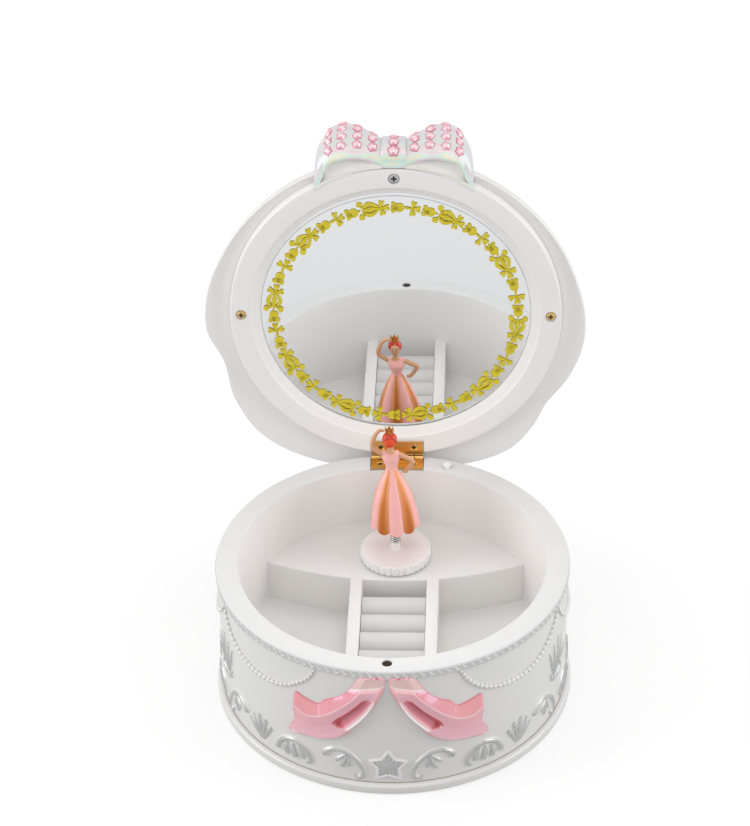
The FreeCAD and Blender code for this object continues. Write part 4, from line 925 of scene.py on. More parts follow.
def seen(start: Shade, mirrored: float = 1.0) -> Shade:
    """Tells which rays see a surface.

    Args:
        start: the tree.
        mirrored: the share for rays from mirrors and through glass.

    Returns:
        One for rays from the eye, that share for those, and nothing for other light.
    """
    rays = [start.node("ShaderNodeLightPath", output=name)
            for name in ("Is Camera Ray", "Is Glossy Ray", "Is Transmission Ray")]
    return start.math("MINIMUM", rays[0] + (rays[1] + rays[2]) * mirrored, 1.0)


@dataclass
class Tools:
    """The three Geometry Nodes trees that the classes share."""

    beads: Weaver
    bars: Weaver
    spots: Weaver


def column(x: float, y: float, radius: float, low: float, high: float, sides: int = 40) -> Form:
    """A plain round column, for cutting holes.

    Args:
        x: its middle across.
        y: its middle along.
        radius: its radius.
        low: height of its foot.
        high: height of its top.
        sides: faces round it.

    Returns:
        The form.
    """
    form = Form()
    form.sheet([circle((x, y), radius, radius, z, sides) for z in (low, high)], around=True, caps=True)
    return form


def block(low: Place, high: Place) -> Form:
    """A plain box.

    Args:
        low: its lowest corner.
        high: its highest corner.

    Returns:
        The form.
    """
    form = Form()
    corners = [(low[0], low[1]), (high[0], low[1]), (high[0], high[1]), (low[0], high[1])]
    form.sheet([[(x, y, z) for x, y in corners] for z in (low[2], high[2])], around=True, caps=True)
    return form


@dataclass
class Case:
    """The case: outer wall, tray with stage and aisle, base and ring rolls."""

    tools: Tools
    wall_radius: float = 74.4
    wall_inner: float = 72.2
    wall_low: float = 4.4
    wall_top: float = 61.5
    rim_outer: float = 75.0
    rim_inner: float = 65.4
    rim_top: float = 64.5
    floor: float = 16.5
    stage_top: float = 36.0
    stage_middle: float = 156.4
    stage_radius: float = 135.5
    stage_end: float = 25.0
    aisle_inner: float = 14.0
    aisle_outer: float = 19.4
    aisle_rounding: float = 0.6
    stage_rounding: float = 0.7
    stage_lap: float = 1.2
    aisle_lap: float = 0.8
    aisle_rise: float = 0.02
    foot: float = 1.0
    front_steps: int = 48
    back_steps: int = 60
    tray_skin: float = 2.2
    tray_thick: float = 2.0
    rim_face: float = 0.8
    hinge_half: float = 11.9
    hinge_cuts: tuple[tuple[Pair, Pair], ...] = (((63.0, 78.0), (63.0, 67.0)), ((70.8, 78.0), (62.3, 67.0)))
    holes: tuple[tuple[float, float, float, float, float], ...] = (
        (0.0, -69.2, 2.15, 62.0, 70.0), (22.2, 65.97, 1.95, 58.0, 70.0))
    base_radius: float = 76.8
    base_thick: float = 2.5
    base_play: float = 0.2
    below: float = -2.0
    well: Triple = (-16.0, 46.47, 14.7)
    well_cut: float = 5.0
    well_foot: float = 0.1
    well_ceiling: float = 12.0
    well_roof: float = 14.0
    well_skin: float = 1.8
    shaft_hole: float = 1.9
    sink_radius: float = 2.9
    sink_deep: float = 1.9
    seam: tuple[float, float, float, float] = (-0.6, 0.28, -0.2, 0.1)
    sinks: tuple[Pair, ...] = (
        (48.0, -25.0), (-48.0, -25.0), (0.0, -56.0), (-35.5, 50.0), (27.0, 53.5), (-33.0, 32.0), (12.0, 30.9))
    roll_first: float = 9.65
    roll_pitch: float = 12.05
    roll_half: float = 5.7
    roll_count: int = 6
    roll_top: float = 34.0
    roll_side: float = 13.8
    roll_steps: int = 16

    def build(self) -> None:
        """Makes all the pieces of the case."""
        self.build_wall()
        self.build_tray()
        self.build_base()
        self.build_rolls()

    def build_wall(self) -> None:
        """The outer wall, with its edges broken."""
        form = Form()
        corners = hoop(self.wall_inner, self.wall_radius, self.wall_low, self.wall_top)
        form.lathe(turned(corners, {1: 0.35, 2: 0.3}), ROUND)
        # The wall wears the darker copy of the case's white: painted shade.
        settle(form.make("outer_wall", (Wear.WALL,)), Body.CASE, "shell_white", "outer_shell")

    def build_tray(self) -> None:
        """The rim, the round well of the tray, the stage and the two walls of the aisle."""
        form = Form()
        outside, under = self.rim_inner + self.tray_skin, self.floor - self.tray_thick
        corners = [(0.0, under), (outside, under), (outside, self.wall_top), (self.rim_outer, self.wall_top),
                   (self.rim_outer, self.rim_top), (self.rim_inner, self.rim_top),
                   (self.rim_inner, self.floor), (0.0, self.floor)]
        form.lathe(turned(corners, {3: 0.3, 4: 0.9, 5: 1.0, 6: 1.4}), ROUND)
        tray = form.make("tray_bowl", (Wear.TRAY,))
        for along, up in self.hinge_cuts:
            carve(tray, block((-self.hinge_half, along[0], up[0]), (self.hinge_half, along[1], up[1])))
        for hole in self.holes:
            carve(tray, column(*hole))
        smooth(tray.data, CREASE)
        # The rim's top faces take the darker copy of the tray's white: painted shade on the top.
        tray.data.materials.append(Wear.RIM.value.make())
        for face in tray.data.polygons:
            if face.center.z > (self.rim_top - self.rim_face) * MM:
                face.material_index = 1
        settle(tray, Body.CASE, "shell_white", "tray")
        settle(self.stage_form().make("tray_stage", (Wear.TRAY,)), Body.CASE, "shell_white")

    def stage_form(self) -> Form:
        """The stage with its bowed front and the two walls of the aisle.

        Returns:
            The form.
        """
        form = Form()
        edge = self.rim_inner + self.stage_lap
        meet = (self.stage_middle ** 2 + edge ** 2 - self.stage_radius ** 2) / (2 * self.stage_middle)
        half = math.sqrt(edge ** 2 - meet ** 2)
        front = math.asin(half / self.stage_radius)
        back = math.atan2(half, meet)
        outline = []
        for k in range(self.front_steps + 1):
            angle = -front + 2 * front * k / self.front_steps
            outline.append((self.stage_radius * math.sin(angle),
                            self.stage_middle - self.stage_radius * math.cos(angle)))
        for k in range(1, self.back_steps):
            angle = back - 2 * back * k / self.back_steps
            outline.append((edge * math.sin(angle), edge * math.cos(angle)))
        form.slab(outline, self.floor - self.foot, self.stage_top, self.stage_rounding)
        near = -self.rim_inner - self.aisle_lap
        for side in (-1.0, 1.0):
            low, high = sorted((side * self.aisle_inner, side * self.aisle_outer))
            form.slab([(low, near), (high, near), (high, self.stage_end), (low, self.stage_end)],
                      self.floor - self.foot, self.stage_top + self.aisle_rise, self.aisle_rounding)
        return form

    def build_base(self) -> None:
        """The base with its rounded flange, the key's well, the screw sinks and the seam under the wall."""
        form = Form()
        inner, thick = self.wall_inner - self.base_play, self.base_thick
        corners = [(0.0, 0.0), (self.base_radius, 0.0), (self.base_radius, self.wall_low),
                   (inner, self.wall_low), (inner, thick), (0.0, thick)]
        form.lathe(turned(corners, {1: 0.9, 2: 1.5}), ROUND)
        # The base wears the wall's darker copy of the white: painted shade.
        base = form.make("base_flange", (Wear.WALL,))
        carve(base, column(*self.well, self.below, self.well_cut, sides=64))
        for x, y in self.sinks:
            carve(base, column(x, y, self.sink_radius, self.below, self.sink_deep, sides=24))
        smooth(base.data, CREASE)
        settle(base, Body.CASE, "shell_white", "base_plate")
        cup = Form()
        x, y, radius = self.well
        outside, shaft = radius + self.well_skin, self.shaft_hole
        cup.lathe(turned([(radius, self.well_foot), (radius, self.well_ceiling), (shaft, self.well_ceiling),
                          (shaft, self.well_roof), (outside, self.well_roof), (outside, self.well_foot)],
                         {1: 1.0}), steps=64, middle=(x, y))
        settle(cup.make("key_well", (Wear.SHELL,)), Body.CASE, "shell_white")
        seam = Form()
        inner, outer, low, high = self.seam
        seam.lathe(hoop(self.wall_radius + inner, self.wall_radius + outer, self.wall_low + low,
                        self.wall_low + high), ROUND)
        settle(seam.make("base_seam", (Wear.SEAM,)), Body.CASE, "shell_white")

    def build_rolls(self) -> None:
        """The six rolls that hold rings."""
        form = Form()
        middle = self.roll_top - self.roll_half
        half, steps = self.roll_half, self.roll_steps
        section = [(-half, self.floor), (-half, middle)]
        section += [(-half * math.cos(math.pi * k / steps), middle + half * math.sin(math.pi * k / steps))
                    for k in range(1, steps)]
        section += [(half, middle), (half, self.floor)]
        form.sheet([[(x, y, z) for y, z in section] for x in (-self.roll_side, self.roll_side)],
                   around=True, caps=True)
        places = [((0.0, self.roll_first - self.roll_pitch * k, 0.0), (0.0, 0.0, 0.0), 1.0)
                  for k in range(self.roll_count)]
        rolls = scatter(self.tools.spots, "ring_roll_row", form, places, Wear.ROLL)
        settle(rolls, Body.CASE, "roll_white", "ring_rolls")


@dataclass
class WallDress:
    """The relief on the wall: the braid under the rim, pearl swags, frieze and plumes.

    A stroke's points are places along the wall and up, and how thick it is there. The scroll is an arched
    stem with a curled foot and a knob over a three-lobed leaf. The palmette is an arch over three round
    drops. The star's outs are how far its edge, its peak and its foot stand off the wall.
    """

    tools: Tools
    radius: float = 74.4
    rim_radius: float = 75.0
    braid_level: float = 62.2
    braid_count: int = 132
    swag_period: float = 46.0
    back_swag: float = 0.86
    pearl_pitch: float = 2.42
    pearl_out: float = 0.3
    gap_shade_share: float = 0.5
    leaf: Triple = (1.45, 0.35, 0.42)
    leaf_rows: tuple[Triple, ...] = ((0.55, 0.72, 0.0), (-0.6, -0.72, 0.011))
    band: tuple[float, float, float, float] = (-0.5, 0.12, -1.5, 1.4)
    leaf_sizes: Triple = (0.9, 0.1, 1.7)
    border: float = 0.34
    core_out: Pair = (0.12, 0.1)
    pad_out: Pair = (-0.25, 0.3)
    bar_sides: int = 8
    bar_crease: float = 60.0
    star_level: float = 13.6
    star_size: float = 8.1
    star_waist: float = 0.56
    star_border: Pair = (0.1, 0.78)
    star_outs: Triple = (0.35, 1.15, -0.5)
    star_rays: int = 4
    star_corners: int = 10
    star_angles: Pair = (0.0, 180.0)
    ribs: int = 5
    rib_foot: float = 8.6
    rib_spread: float = 0.4
    rib_leans: Pair = (-34.0, 20.0)
    rib_reach: Pair = (12.4, 1.0)
    rib_belly: float = 0.55
    rib_sizes: Triple = (0.5, 1.15, 0.85)
    rays: int = 7
    longest_ray: int = 2
    ray_leans: Pair = (-0.25, 0.17)
    ray_feet: Pair = (25.0, 0.5)
    ray_heads: Pair = (43.5, 1.7)
    ray_across: tuple[Pair, Pair, Pair] = ((-3.0, 0.9), (-3.2, 1.3), (-3.6, 1.9))
    ray_sizes: Triple = (0.4, 0.95, 0.4)
    scroll: tuple[tuple[Triple, ...], ...] = (
        ((2.6, 7.9, 0.7), (1.5, 6.9, 0.95), (-0.1, 7.2, 1.15), (-1.1, 9.6, 1.2), (-0.2, 13.2, 1.2),
         (2.8, 17.2, 1.15), (6.8, 20.0, 1.1), (11.0, 20.3, 1.15), (14.0, 18.8, 1.3), (15.4, 17.0, 1.5),
         (14.6, 16.2, 1.2)),
        ((5.6, 17.4, 0.35), (5.3, 14.6, 0.9), (4.7, 12.2, 0.7)),
        ((6.0, 17.4, 0.4), (7.3, 13.8, 1.2), (8.4, 11.3, 1.0)),
        ((6.6, 17.6, 0.35), (9.2, 15.6, 0.95), (10.6, 14.0, 0.75)))
    palmette: tuple[tuple[Triple, ...], ...] = (
        ((-6.4, 8.4, 1.3), (-7.9, 10.6, 1.2), (-7.0, 14.2, 1.25), (-3.4, 17.2, 1.3), (0.8, 17.9, 1.3),
         (5.2, 16.0, 1.3), (8.0, 12.4, 1.3), (8.4, 10.0, 1.5)),
        ((-2.6, 15.4, 0.6), (-4.0, 12.6, 1.35), (-4.4, 9.8, 1.2)),
        ((0.4, 15.2, 0.6), (0.2, 11.8, 1.4), (-0.6, 9.0, 1.5)),
        ((3.2, 14.4, 0.6), (4.2, 11.6, 1.35), (3.6, 9.0, 1.35)))
    curl: tuple[Triple, ...] = (
        (-6.2, 28.0, 0.5), (-5.4, 25.2, 0.9), (-2.0, 23.6, 1.0), (2.2, 23.8, 0.9), (5.0, 26.0, 0.8),
        (4.2, 27.8, 0.6))
    scroll_angles: tuple[float, ...] = (8.8, 98.0)
    turned_scroll_angles: tuple[float, ...] = (66.0, 148.0, 173.0)
    palmette_angles: tuple[float, ...] = (32.0, 78.5, 117.0, 154.5)
    shell_angles: tuple[float, ...] = (46.0, 91.0, 129.5)
    plume_angles: tuple[float, ...] = (69.0,)
    swag_line: tuple[Triple, ...] = (
        (-22.4, 60.0, 0.8), (-19.9, 54.6, 1.02), (-16.0, 49.6, 1.12), (-10.6, 45.9, 1.2), (-3.0, 43.9, 1.22),
        (4.6, 44.0, 1.18), (11.0, 46.0, 1.1), (16.5, 50.4, 1.0), (20.4, 55.0, 0.85), (22.4, 59.4, 0.7))
    cores: list[Path] = field(default_factory=list)
    pads: list[Path] = field(default_factory=list)

    def at(self, angle: float, level: float, out: float = 0.0) -> Triple:
        """A place on the wall: angle in degrees from the front, height and distance out from the wall."""
        return about(AXIS, self.radius + out, math.radians(angle), level)

    def stroke(self, angle: float, path: Sequence[Triple], mirror: bool = False, steps: int = 5) -> None:
        """Draws a stroke about an angle, over a wider pale pad.

        Args:
            angle: where the stroke's own zero lies, in degrees from the front.
            path: points along the wall, up, and how thick.
            mirror: draws it the other way round.
            steps: how finely it is smoothed.
        """
        core, pad = [], []
        for along, level, thick in spline(path, steps):
            where = self.beside(angle, -along if mirror else along)
            core_out, pad_out = (out - sunk * thick for out, sunk in (self.core_out, self.pad_out))
            core.append((*self.at(where, level, core_out), thick))
            pad.append((*self.at(where, level, pad_out), thick + self.border))
        self.cores.append(core)
        self.pads.append(pad)

    def build(self) -> None:
        """Makes the relief pieces."""
        self.build_swags()
        self.build_braid()
        self.build_frieze()

    def build_swags(self) -> None:
        """Strings of pearls hung in loops from under the rim, each on a thin silver cord that paints the
        shade in the gaps between the beads.
        """
        hung = [(k * self.swag_period, 1.0) for k in (-3, -2, -1, 1, 2, 3)] + [(180.0, self.back_swag)]
        line = spline(self.swag_line, steps=8)
        lines = [[(*self.at(middle + a * wide, z, self.pearl_out), thick) for a, z, thick in line]
                 for middle, wide in hung]
        # Thin silver cords behind the beads: painted shade in the gaps.
        gap_shades = [[(x, y, z, thick * self.gap_shade_share) for x, y, z, thick in swag] for swag in lines]
        weaver = self.tools.beads
        made = weaver.weave(weaver.lines("pearl_swags", lines), crease=180.0,
                            Spacing=self.pearl_pitch * MM, Material=Wear.PEARLS.value.make())
        settle(made, Body.CASE, "shell_white")
        self.build_bars("pearl_cords", gap_shades, Wear.RELIEF)

    def build_bars(self, name: str, strokes: Sequence[Path], wear: Wear) -> None:
        """Makes one piece of round bars.

        Args:
            name: the piece's name.
            strokes: the lines that the bars follow.
            wear: their finish.
        """
        weaver = self.tools.bars
        made = weaver.weave(weaver.lines(name, strokes), self.bar_crease, Sides=self.bar_sides,
                            Material=wear.value.make())
        settle(made, Body.CASE, "shell_white")

    def build_braid(self) -> None:
        """Two rows of small slanting leaves round the rim, over a narrow silver band."""
        leaf = Form()
        leaf.ball((0.0, 0.0, 0.0), self.leaf, rings=5, sides=6)
        places = []
        size, swing, beat = self.leaf_sizes
        for k in range(self.braid_count):
            turn = FULL * k / self.braid_count
            for row, slant, shift in self.leaf_rows:
                around = turn + shift
                spot = about(AXIS, self.rim_radius, around, self.braid_level + row)
                lean = Matrix.Rotation(around, 3, "Z") @ Matrix.Rotation(slant, 3, "Y")
                places.append((spot, tuple(lean.to_euler()), size + swing * math.sin(k * beat)))
        braid = scatter(self.tools.spots, "rim_braid", leaf, places, Wear.PEARLS, self.bar_crease)
        settle(braid, Body.CASE, "shell_white")
        band = Form()
        inner, outer, low, high = self.band
        band.lathe(hoop(self.rim_radius + inner, self.rim_radius + outer, self.braid_level + low,
                        self.braid_level + high), ROUND)
        settle(band.make("rim_band", (Wear.BAND,)), Body.CASE, "shell_white")

    def star(self, facets: Form, angle: float) -> None:
        """A five-pointed star: a pale border, and silver and pale rays from its middle.

        Args:
            facets: the mesh that its rays are added to.
            angle: where it is, in degrees from the front.
        """
        level, (edge_out, peak_out, foot_out) = self.star_level, self.star_outs
        border_out, border_thick = self.star_border
        tips, corners = [], self.star_corners
        for k in range(corners):
            turn = FULL * k / corners
            size = self.star_size if k % 2 == 0 else self.star_size * self.star_waist
            tips.append((size * math.sin(turn), level + size * math.cos(turn)))
        for k in range(corners):
            (a0, z0), (a1, z1) = tips[k], tips[(k + 1) % corners]
            side = ((a0, z0), ((a0 + a1) / 2, (z0 + z1) / 2), (a1, z1))
            self.pads.append([(*self.at(self.beside(angle, a), z, border_out), border_thick)
                              for a, z in side])
        low = [facets.point(self.at(self.beside(angle, a), z, edge_out)) for a, z in tips]
        middle = facets.point(self.at(angle, level, peak_out))
        under = facets.point(self.at(angle, level, foot_out))
        rays = self.star_rays
        for k in range(corners):
            after = low[(k + 1) % corners]
            facets.face((after, low[k], under))
            line = [facets.points[low[k]].lerp(facets.points[after], share / rays)
                    for share in range(1, rays)]
            edge = [low[k], *(facets.point(place) for place in line), after]
            for ray in range(rays):
                facets.face((edge[ray], edge[ray + 1], middle), ray % 2)

    def beside(self, angle: float, along: float) -> float:
        """The angle that lies a way along the wall from another."""
        return angle + math.degrees(along / self.radius)

    def shell(self) -> list[tuple[Triple, ...]]:
        """A fan-shaped shell of five broad ribs.

        Returns:
            Its strokes.
        """
        strokes, foot, middle = [], self.rib_foot, self.ribs // 2
        thin, thick, blunt = self.rib_sizes
        for k in range(self.ribs):
            lean = math.radians(self.rib_leans[0] + self.rib_leans[1] * k)
            reach = self.rib_reach[0] - self.rib_reach[1] * abs(k - middle)
            half = self.rib_belly * reach
            belly = (half * math.sin(lean), foot + half * math.cos(lean), thick)
            tip = (reach * math.sin(lean), foot + reach * math.cos(lean), blunt)
            strokes.append(((self.rib_spread * (k - middle), foot, thin), belly, tip))
        return strokes

    def plume(self) -> list[tuple[Triple, ...]]:
        """A fan of long rays over a small curl.

        Returns:
            Its strokes.
        """
        strokes = []
        thin, thick, fine = self.ray_sizes
        for k in range(self.rays):
            lean = self.ray_leans[0] + self.ray_leans[1] * k
            foot = self.ray_feet[0] + self.ray_feet[1] * k
            head = self.ray_heads[0] - self.ray_heads[1] * abs(k - self.longest_ray)
            reach = head - foot
            low, middle, top = (start + pitch * k for start, pitch in self.ray_across)
            belly = (middle + reach * 0.5 * math.sin(lean), foot + reach * 0.5, thick)
            strokes.append(((low, foot, thin), belly, (top + reach * math.sin(lean), head, fine)))
        return [*strokes, self.curl]

    def build_frieze(self) -> None:
        """The row of ornaments over the base and the plumes at the sides."""
        facets = Form()
        for angle in self.star_angles:
            self.star(facets, angle)
        ornaments = ((self.scroll, self.scroll_angles, False), (self.scroll, self.turned_scroll_angles, True),
                     (self.palmette, self.palmette_angles, False), (self.shell(), self.shell_angles, False),
                     (self.plume(), self.plume_angles, False))
        for left in (False, True):
            for strokes, angles, swapped in ornaments:
                for angle in angles:
                    for path in strokes:
                        self.stroke(-angle if left else angle, path, left != swapped)
        self.build_bars("wall_frieze", self.cores, Wear.RELIEF)
        self.build_bars("wall_frieze_borders", self.pads, Wear.PEARLS)
        stars = facets.make("frieze_star_facets", (Wear.STAR, Wear.BAND), crease=10.0)
        settle(stars, Body.CASE, "shell_white")


@dataclass
class Ribbon:
    """One of the two ribbon tails on the front of the wall.

    Six lines run along it from the knot to the tail's end, drawn flat as places across and up. Each line has
    its own height off the wall, and each line and each panel between two lines its own sheen. A flat tab at
    the top ends in a crease, and a hollow lies between the brow and the roll. The sheens paint in light: a
    painted highlight along the ridge, the crease and the roll, and painted shade in the hollow.
    """

    name: str
    node: str
    side: float
    radius: float = 74.4
    upper: tuple[Pair, ...] = (
        (11.5, 61.4), (16.0, 53.5), (18.5, 50.5), (22.0, 48.0), (26.5, 45.5), (28.5, 43.0), (30.5, 42.5),
        (34.5, 43.5), (38.5, 45.0), (39.5, 44.0))
    ridge: tuple[Pair, ...] = (
        (8.5, 61.4), (11.0, 55.0), (13.0, 51.5), (18.5, 45.5), (23.5, 41.0), (26.5, 39.0), (29.5, 37.5),
        (34.0, 37.0), (38.0, 39.5), (38.5, 38.5))
    brow: tuple[Pair, ...] = (
        (6.5, 61.4), (8.0, 55.5), (9.5, 51.5), (15.0, 44.5), (21.5, 38.0), (23.5, 35.0), (27.0, 33.0),
        (31.5, 31.5), (37.0, 33.5), (38.0, 32.5))
    hollow: tuple[Pair, ...] = (
        (4.5, 61.4), (5.5, 56.0), (7.0, 51.5), (13.0, 43.5), (19.5, 36.5), (21.0, 33.5), (23.5, 30.5),
        (29.0, 28.5), (35.5, 29.0), (40.0, 29.0))
    roll: tuple[Pair, ...] = (
        (2.5, 61.4), (3.5, 56.5), (4.5, 51.5), (8.5, 43.0), (14.0, 36.0), (17.0, 33.0), (20.5, 29.5),
        (27.5, 26.5), (35.0, 26.0), (41.0, 26.0))
    lower: tuple[Pair, ...] = (
        (0.5, 61.4), (1.0, 57.0), (2.5, 52.5), (6.0, 45.0), (11.5, 37.5), (14.5, 33.5), (18.0, 29.0),
        (25.5, 25.0), (33.5, 23.5), (40.5, 22.5))
    heights: tuple[float, ...] = (0.5, 3.3, 2.7, 2.7, 2.9, 1.0)
    # The ridge's high sheen is a painted highlight along it.
    line_sheens: tuple[float, ...] = (0.12, 0.85, 0.5, 0.55, 0.6, 0.15)
    panel_sheens: tuple[float, ...] = (0.25, 0.48, 0.55, 0.6, 0.4)
    tab: tuple[Pair, ...] = ((0.0, 0.62), (0.98, 0.4), (1.25, 0.95), (1.7, 1.0))
    dip: tuple[Pair, ...] = ((1.9, 0.0), (2.5, 0.7), (3.0, 0.92), (4.65, 0.92), (4.85, 0.0))
    tab_end: float = 1.0
    tab_edges: tuple[float, ...] = (0.3, 0.8, 0.8, 0.8, 0.8, 0.3)
    tab_sheen: float = 0.8
    crease_end: float = 1.1
    # Painted highlight along the crease under the tab.
    crease_highlight: float = 0.95
    # Past this much of the dip, the hollow is painted in shade and the roll's edge gets a painted highlight.
    hollow_shade_from: float = 0.3
    hollow_shade_roll_highlight: tuple[float, ...] = (0.04, 0.1, 1.0)
    side_sheen: float = 0.1
    panel_shares: tuple[float, ...] = (0.12, 0.5, 0.88, 1.0)
    foot: float = -0.4
    drawn_out: float = 2.0
    steps: int = 8

    def build(self) -> None:
        """Makes the tail as one closed piece that lies on the wall."""
        lines = (self.upper, self.ridge, self.brow, self.hollow, self.roll, self.lower)
        tracks = [spline([(x, z, 0.0) for x, z in line], self.steps) for line in lines]
        rows, feet, shines = [], [], []
        for i in range(len(tracks[0])):
            heights, edges, panels = self.profile(i / self.steps)
            places = [Vector((track[i].x, track[i].y, height)) for track, height in zip(tracks, heights)]
            across, tones = [places[0]], [edges[0]]
            for k, panel in enumerate(panels):
                across += [places[k].lerp(places[k + 1], share) for share in self.panel_shares]
                tones += [*panel, edges[k + 1]]
            rows.append([self.on_wall(x, z, out) for x, z, out in across])
            feet.append([self.on_wall(x, z, self.foot) for x, z, _ in across])
            shines.append(tones)
        form = Form()
        form.sheet(rows, sheens=shines)
        form.sheet(feet, sheens=shines)
        sides = [([row[end] for row in rows], [foot[end] for foot in feet]) for end in (0, -1)]
        for outer, inner in ((rows[0], feet[0]), (rows[-1], feet[-1]), *sides):
            form.sheet([outer, inner], sheens=[[self.side_sheen] * len(outer)] * 2)
        settle(form.make(self.name, (Wear.RIBBON,), crease=32.0), Body.CASE, "ribbon_pink", self.node)

    def profile(self, station: float) -> tuple[list[float], list[float], list[list[float]]]:
        """Heights and sheens across the tail, with its painted highlights and painted shade.

        Args:
            station: how far along it, in points.

        Returns:
            The heights and the sheens of the six lines, and three sheens for each of the five panels.
        """
        rise, dip = line_at(self.tab, station), line_at(self.dip, station)
        heights = [h * rise for h in self.heights]
        heights[3] *= 1.0 - dip
        edges = list(self.line_sheens)
        panels = [[sheen] * 3 for sheen in self.panel_sheens]
        if station < self.tab_end:
            edges = list(self.tab_edges)
            panels = [[self.tab_sheen] * 3] * 5
        elif station < self.crease_end:
            # A painted highlight along the crease.
            edges = [self.crease_highlight] * 6
            panels = [[self.crease_highlight] * 3] * 5
        # Painted shade in the hollow and a painted highlight along the roll.
        if dip > self.hollow_shade_from:
            edges[3:5] = 0.0, 1.0
            panels[2:4] = [0.0] * 3, list(self.hollow_shade_roll_highlight)
        return heights, edges, panels

    def on_wall(self, across: float, level: float, out: float) -> Triple:
        """Bends a place that is drawn flat round the wall.

        Args:
            across: its place across.
            level: its height.
            out: how far it stands off the wall.

        Returns:
            The place in the part's frame.
        """
        turn = math.asin(across / (self.radius + self.drawn_out)) * self.side
        return about(AXIS, self.radius + out, turn, level)


@dataclass
class LidFrame:
    """The lid's own frame: across, reach from the lid's middle towards the bow, and depth behind the ring."""

    pin_y: float = 73.0
    pin_z: float = 64.5
    middle: float = 73.0
    open_angle: float = 92.0
    screw_ring: float = 66.9

    def at(self, place: Place) -> Triple:
        """Finds a place in the part's frame with the lid open.

        Args:
            place: across, reach and depth in the lid's frame.

        Returns:
            The place.
        """
        across, reach, depth = place[0], place[1] + self.middle, place[2]
        lean = math.radians(self.open_angle - 90.0)
        return (across, self.pin_y + math.sin(lean) * reach + math.cos(lean) * depth,
                self.pin_z + math.cos(lean) * reach - math.sin(lean) * depth)

    def turn(self, facing: Vector) -> Triple:
        """The Euler angles that turn a shape's +Z to a direction drawn in the lid's frame."""
        start, tip = Vector(self.at((0.0, 0.0, 0.0))), Vector(self.at(facing))
        return tuple((tip - start).to_track_quat("Z", "Y").to_euler())


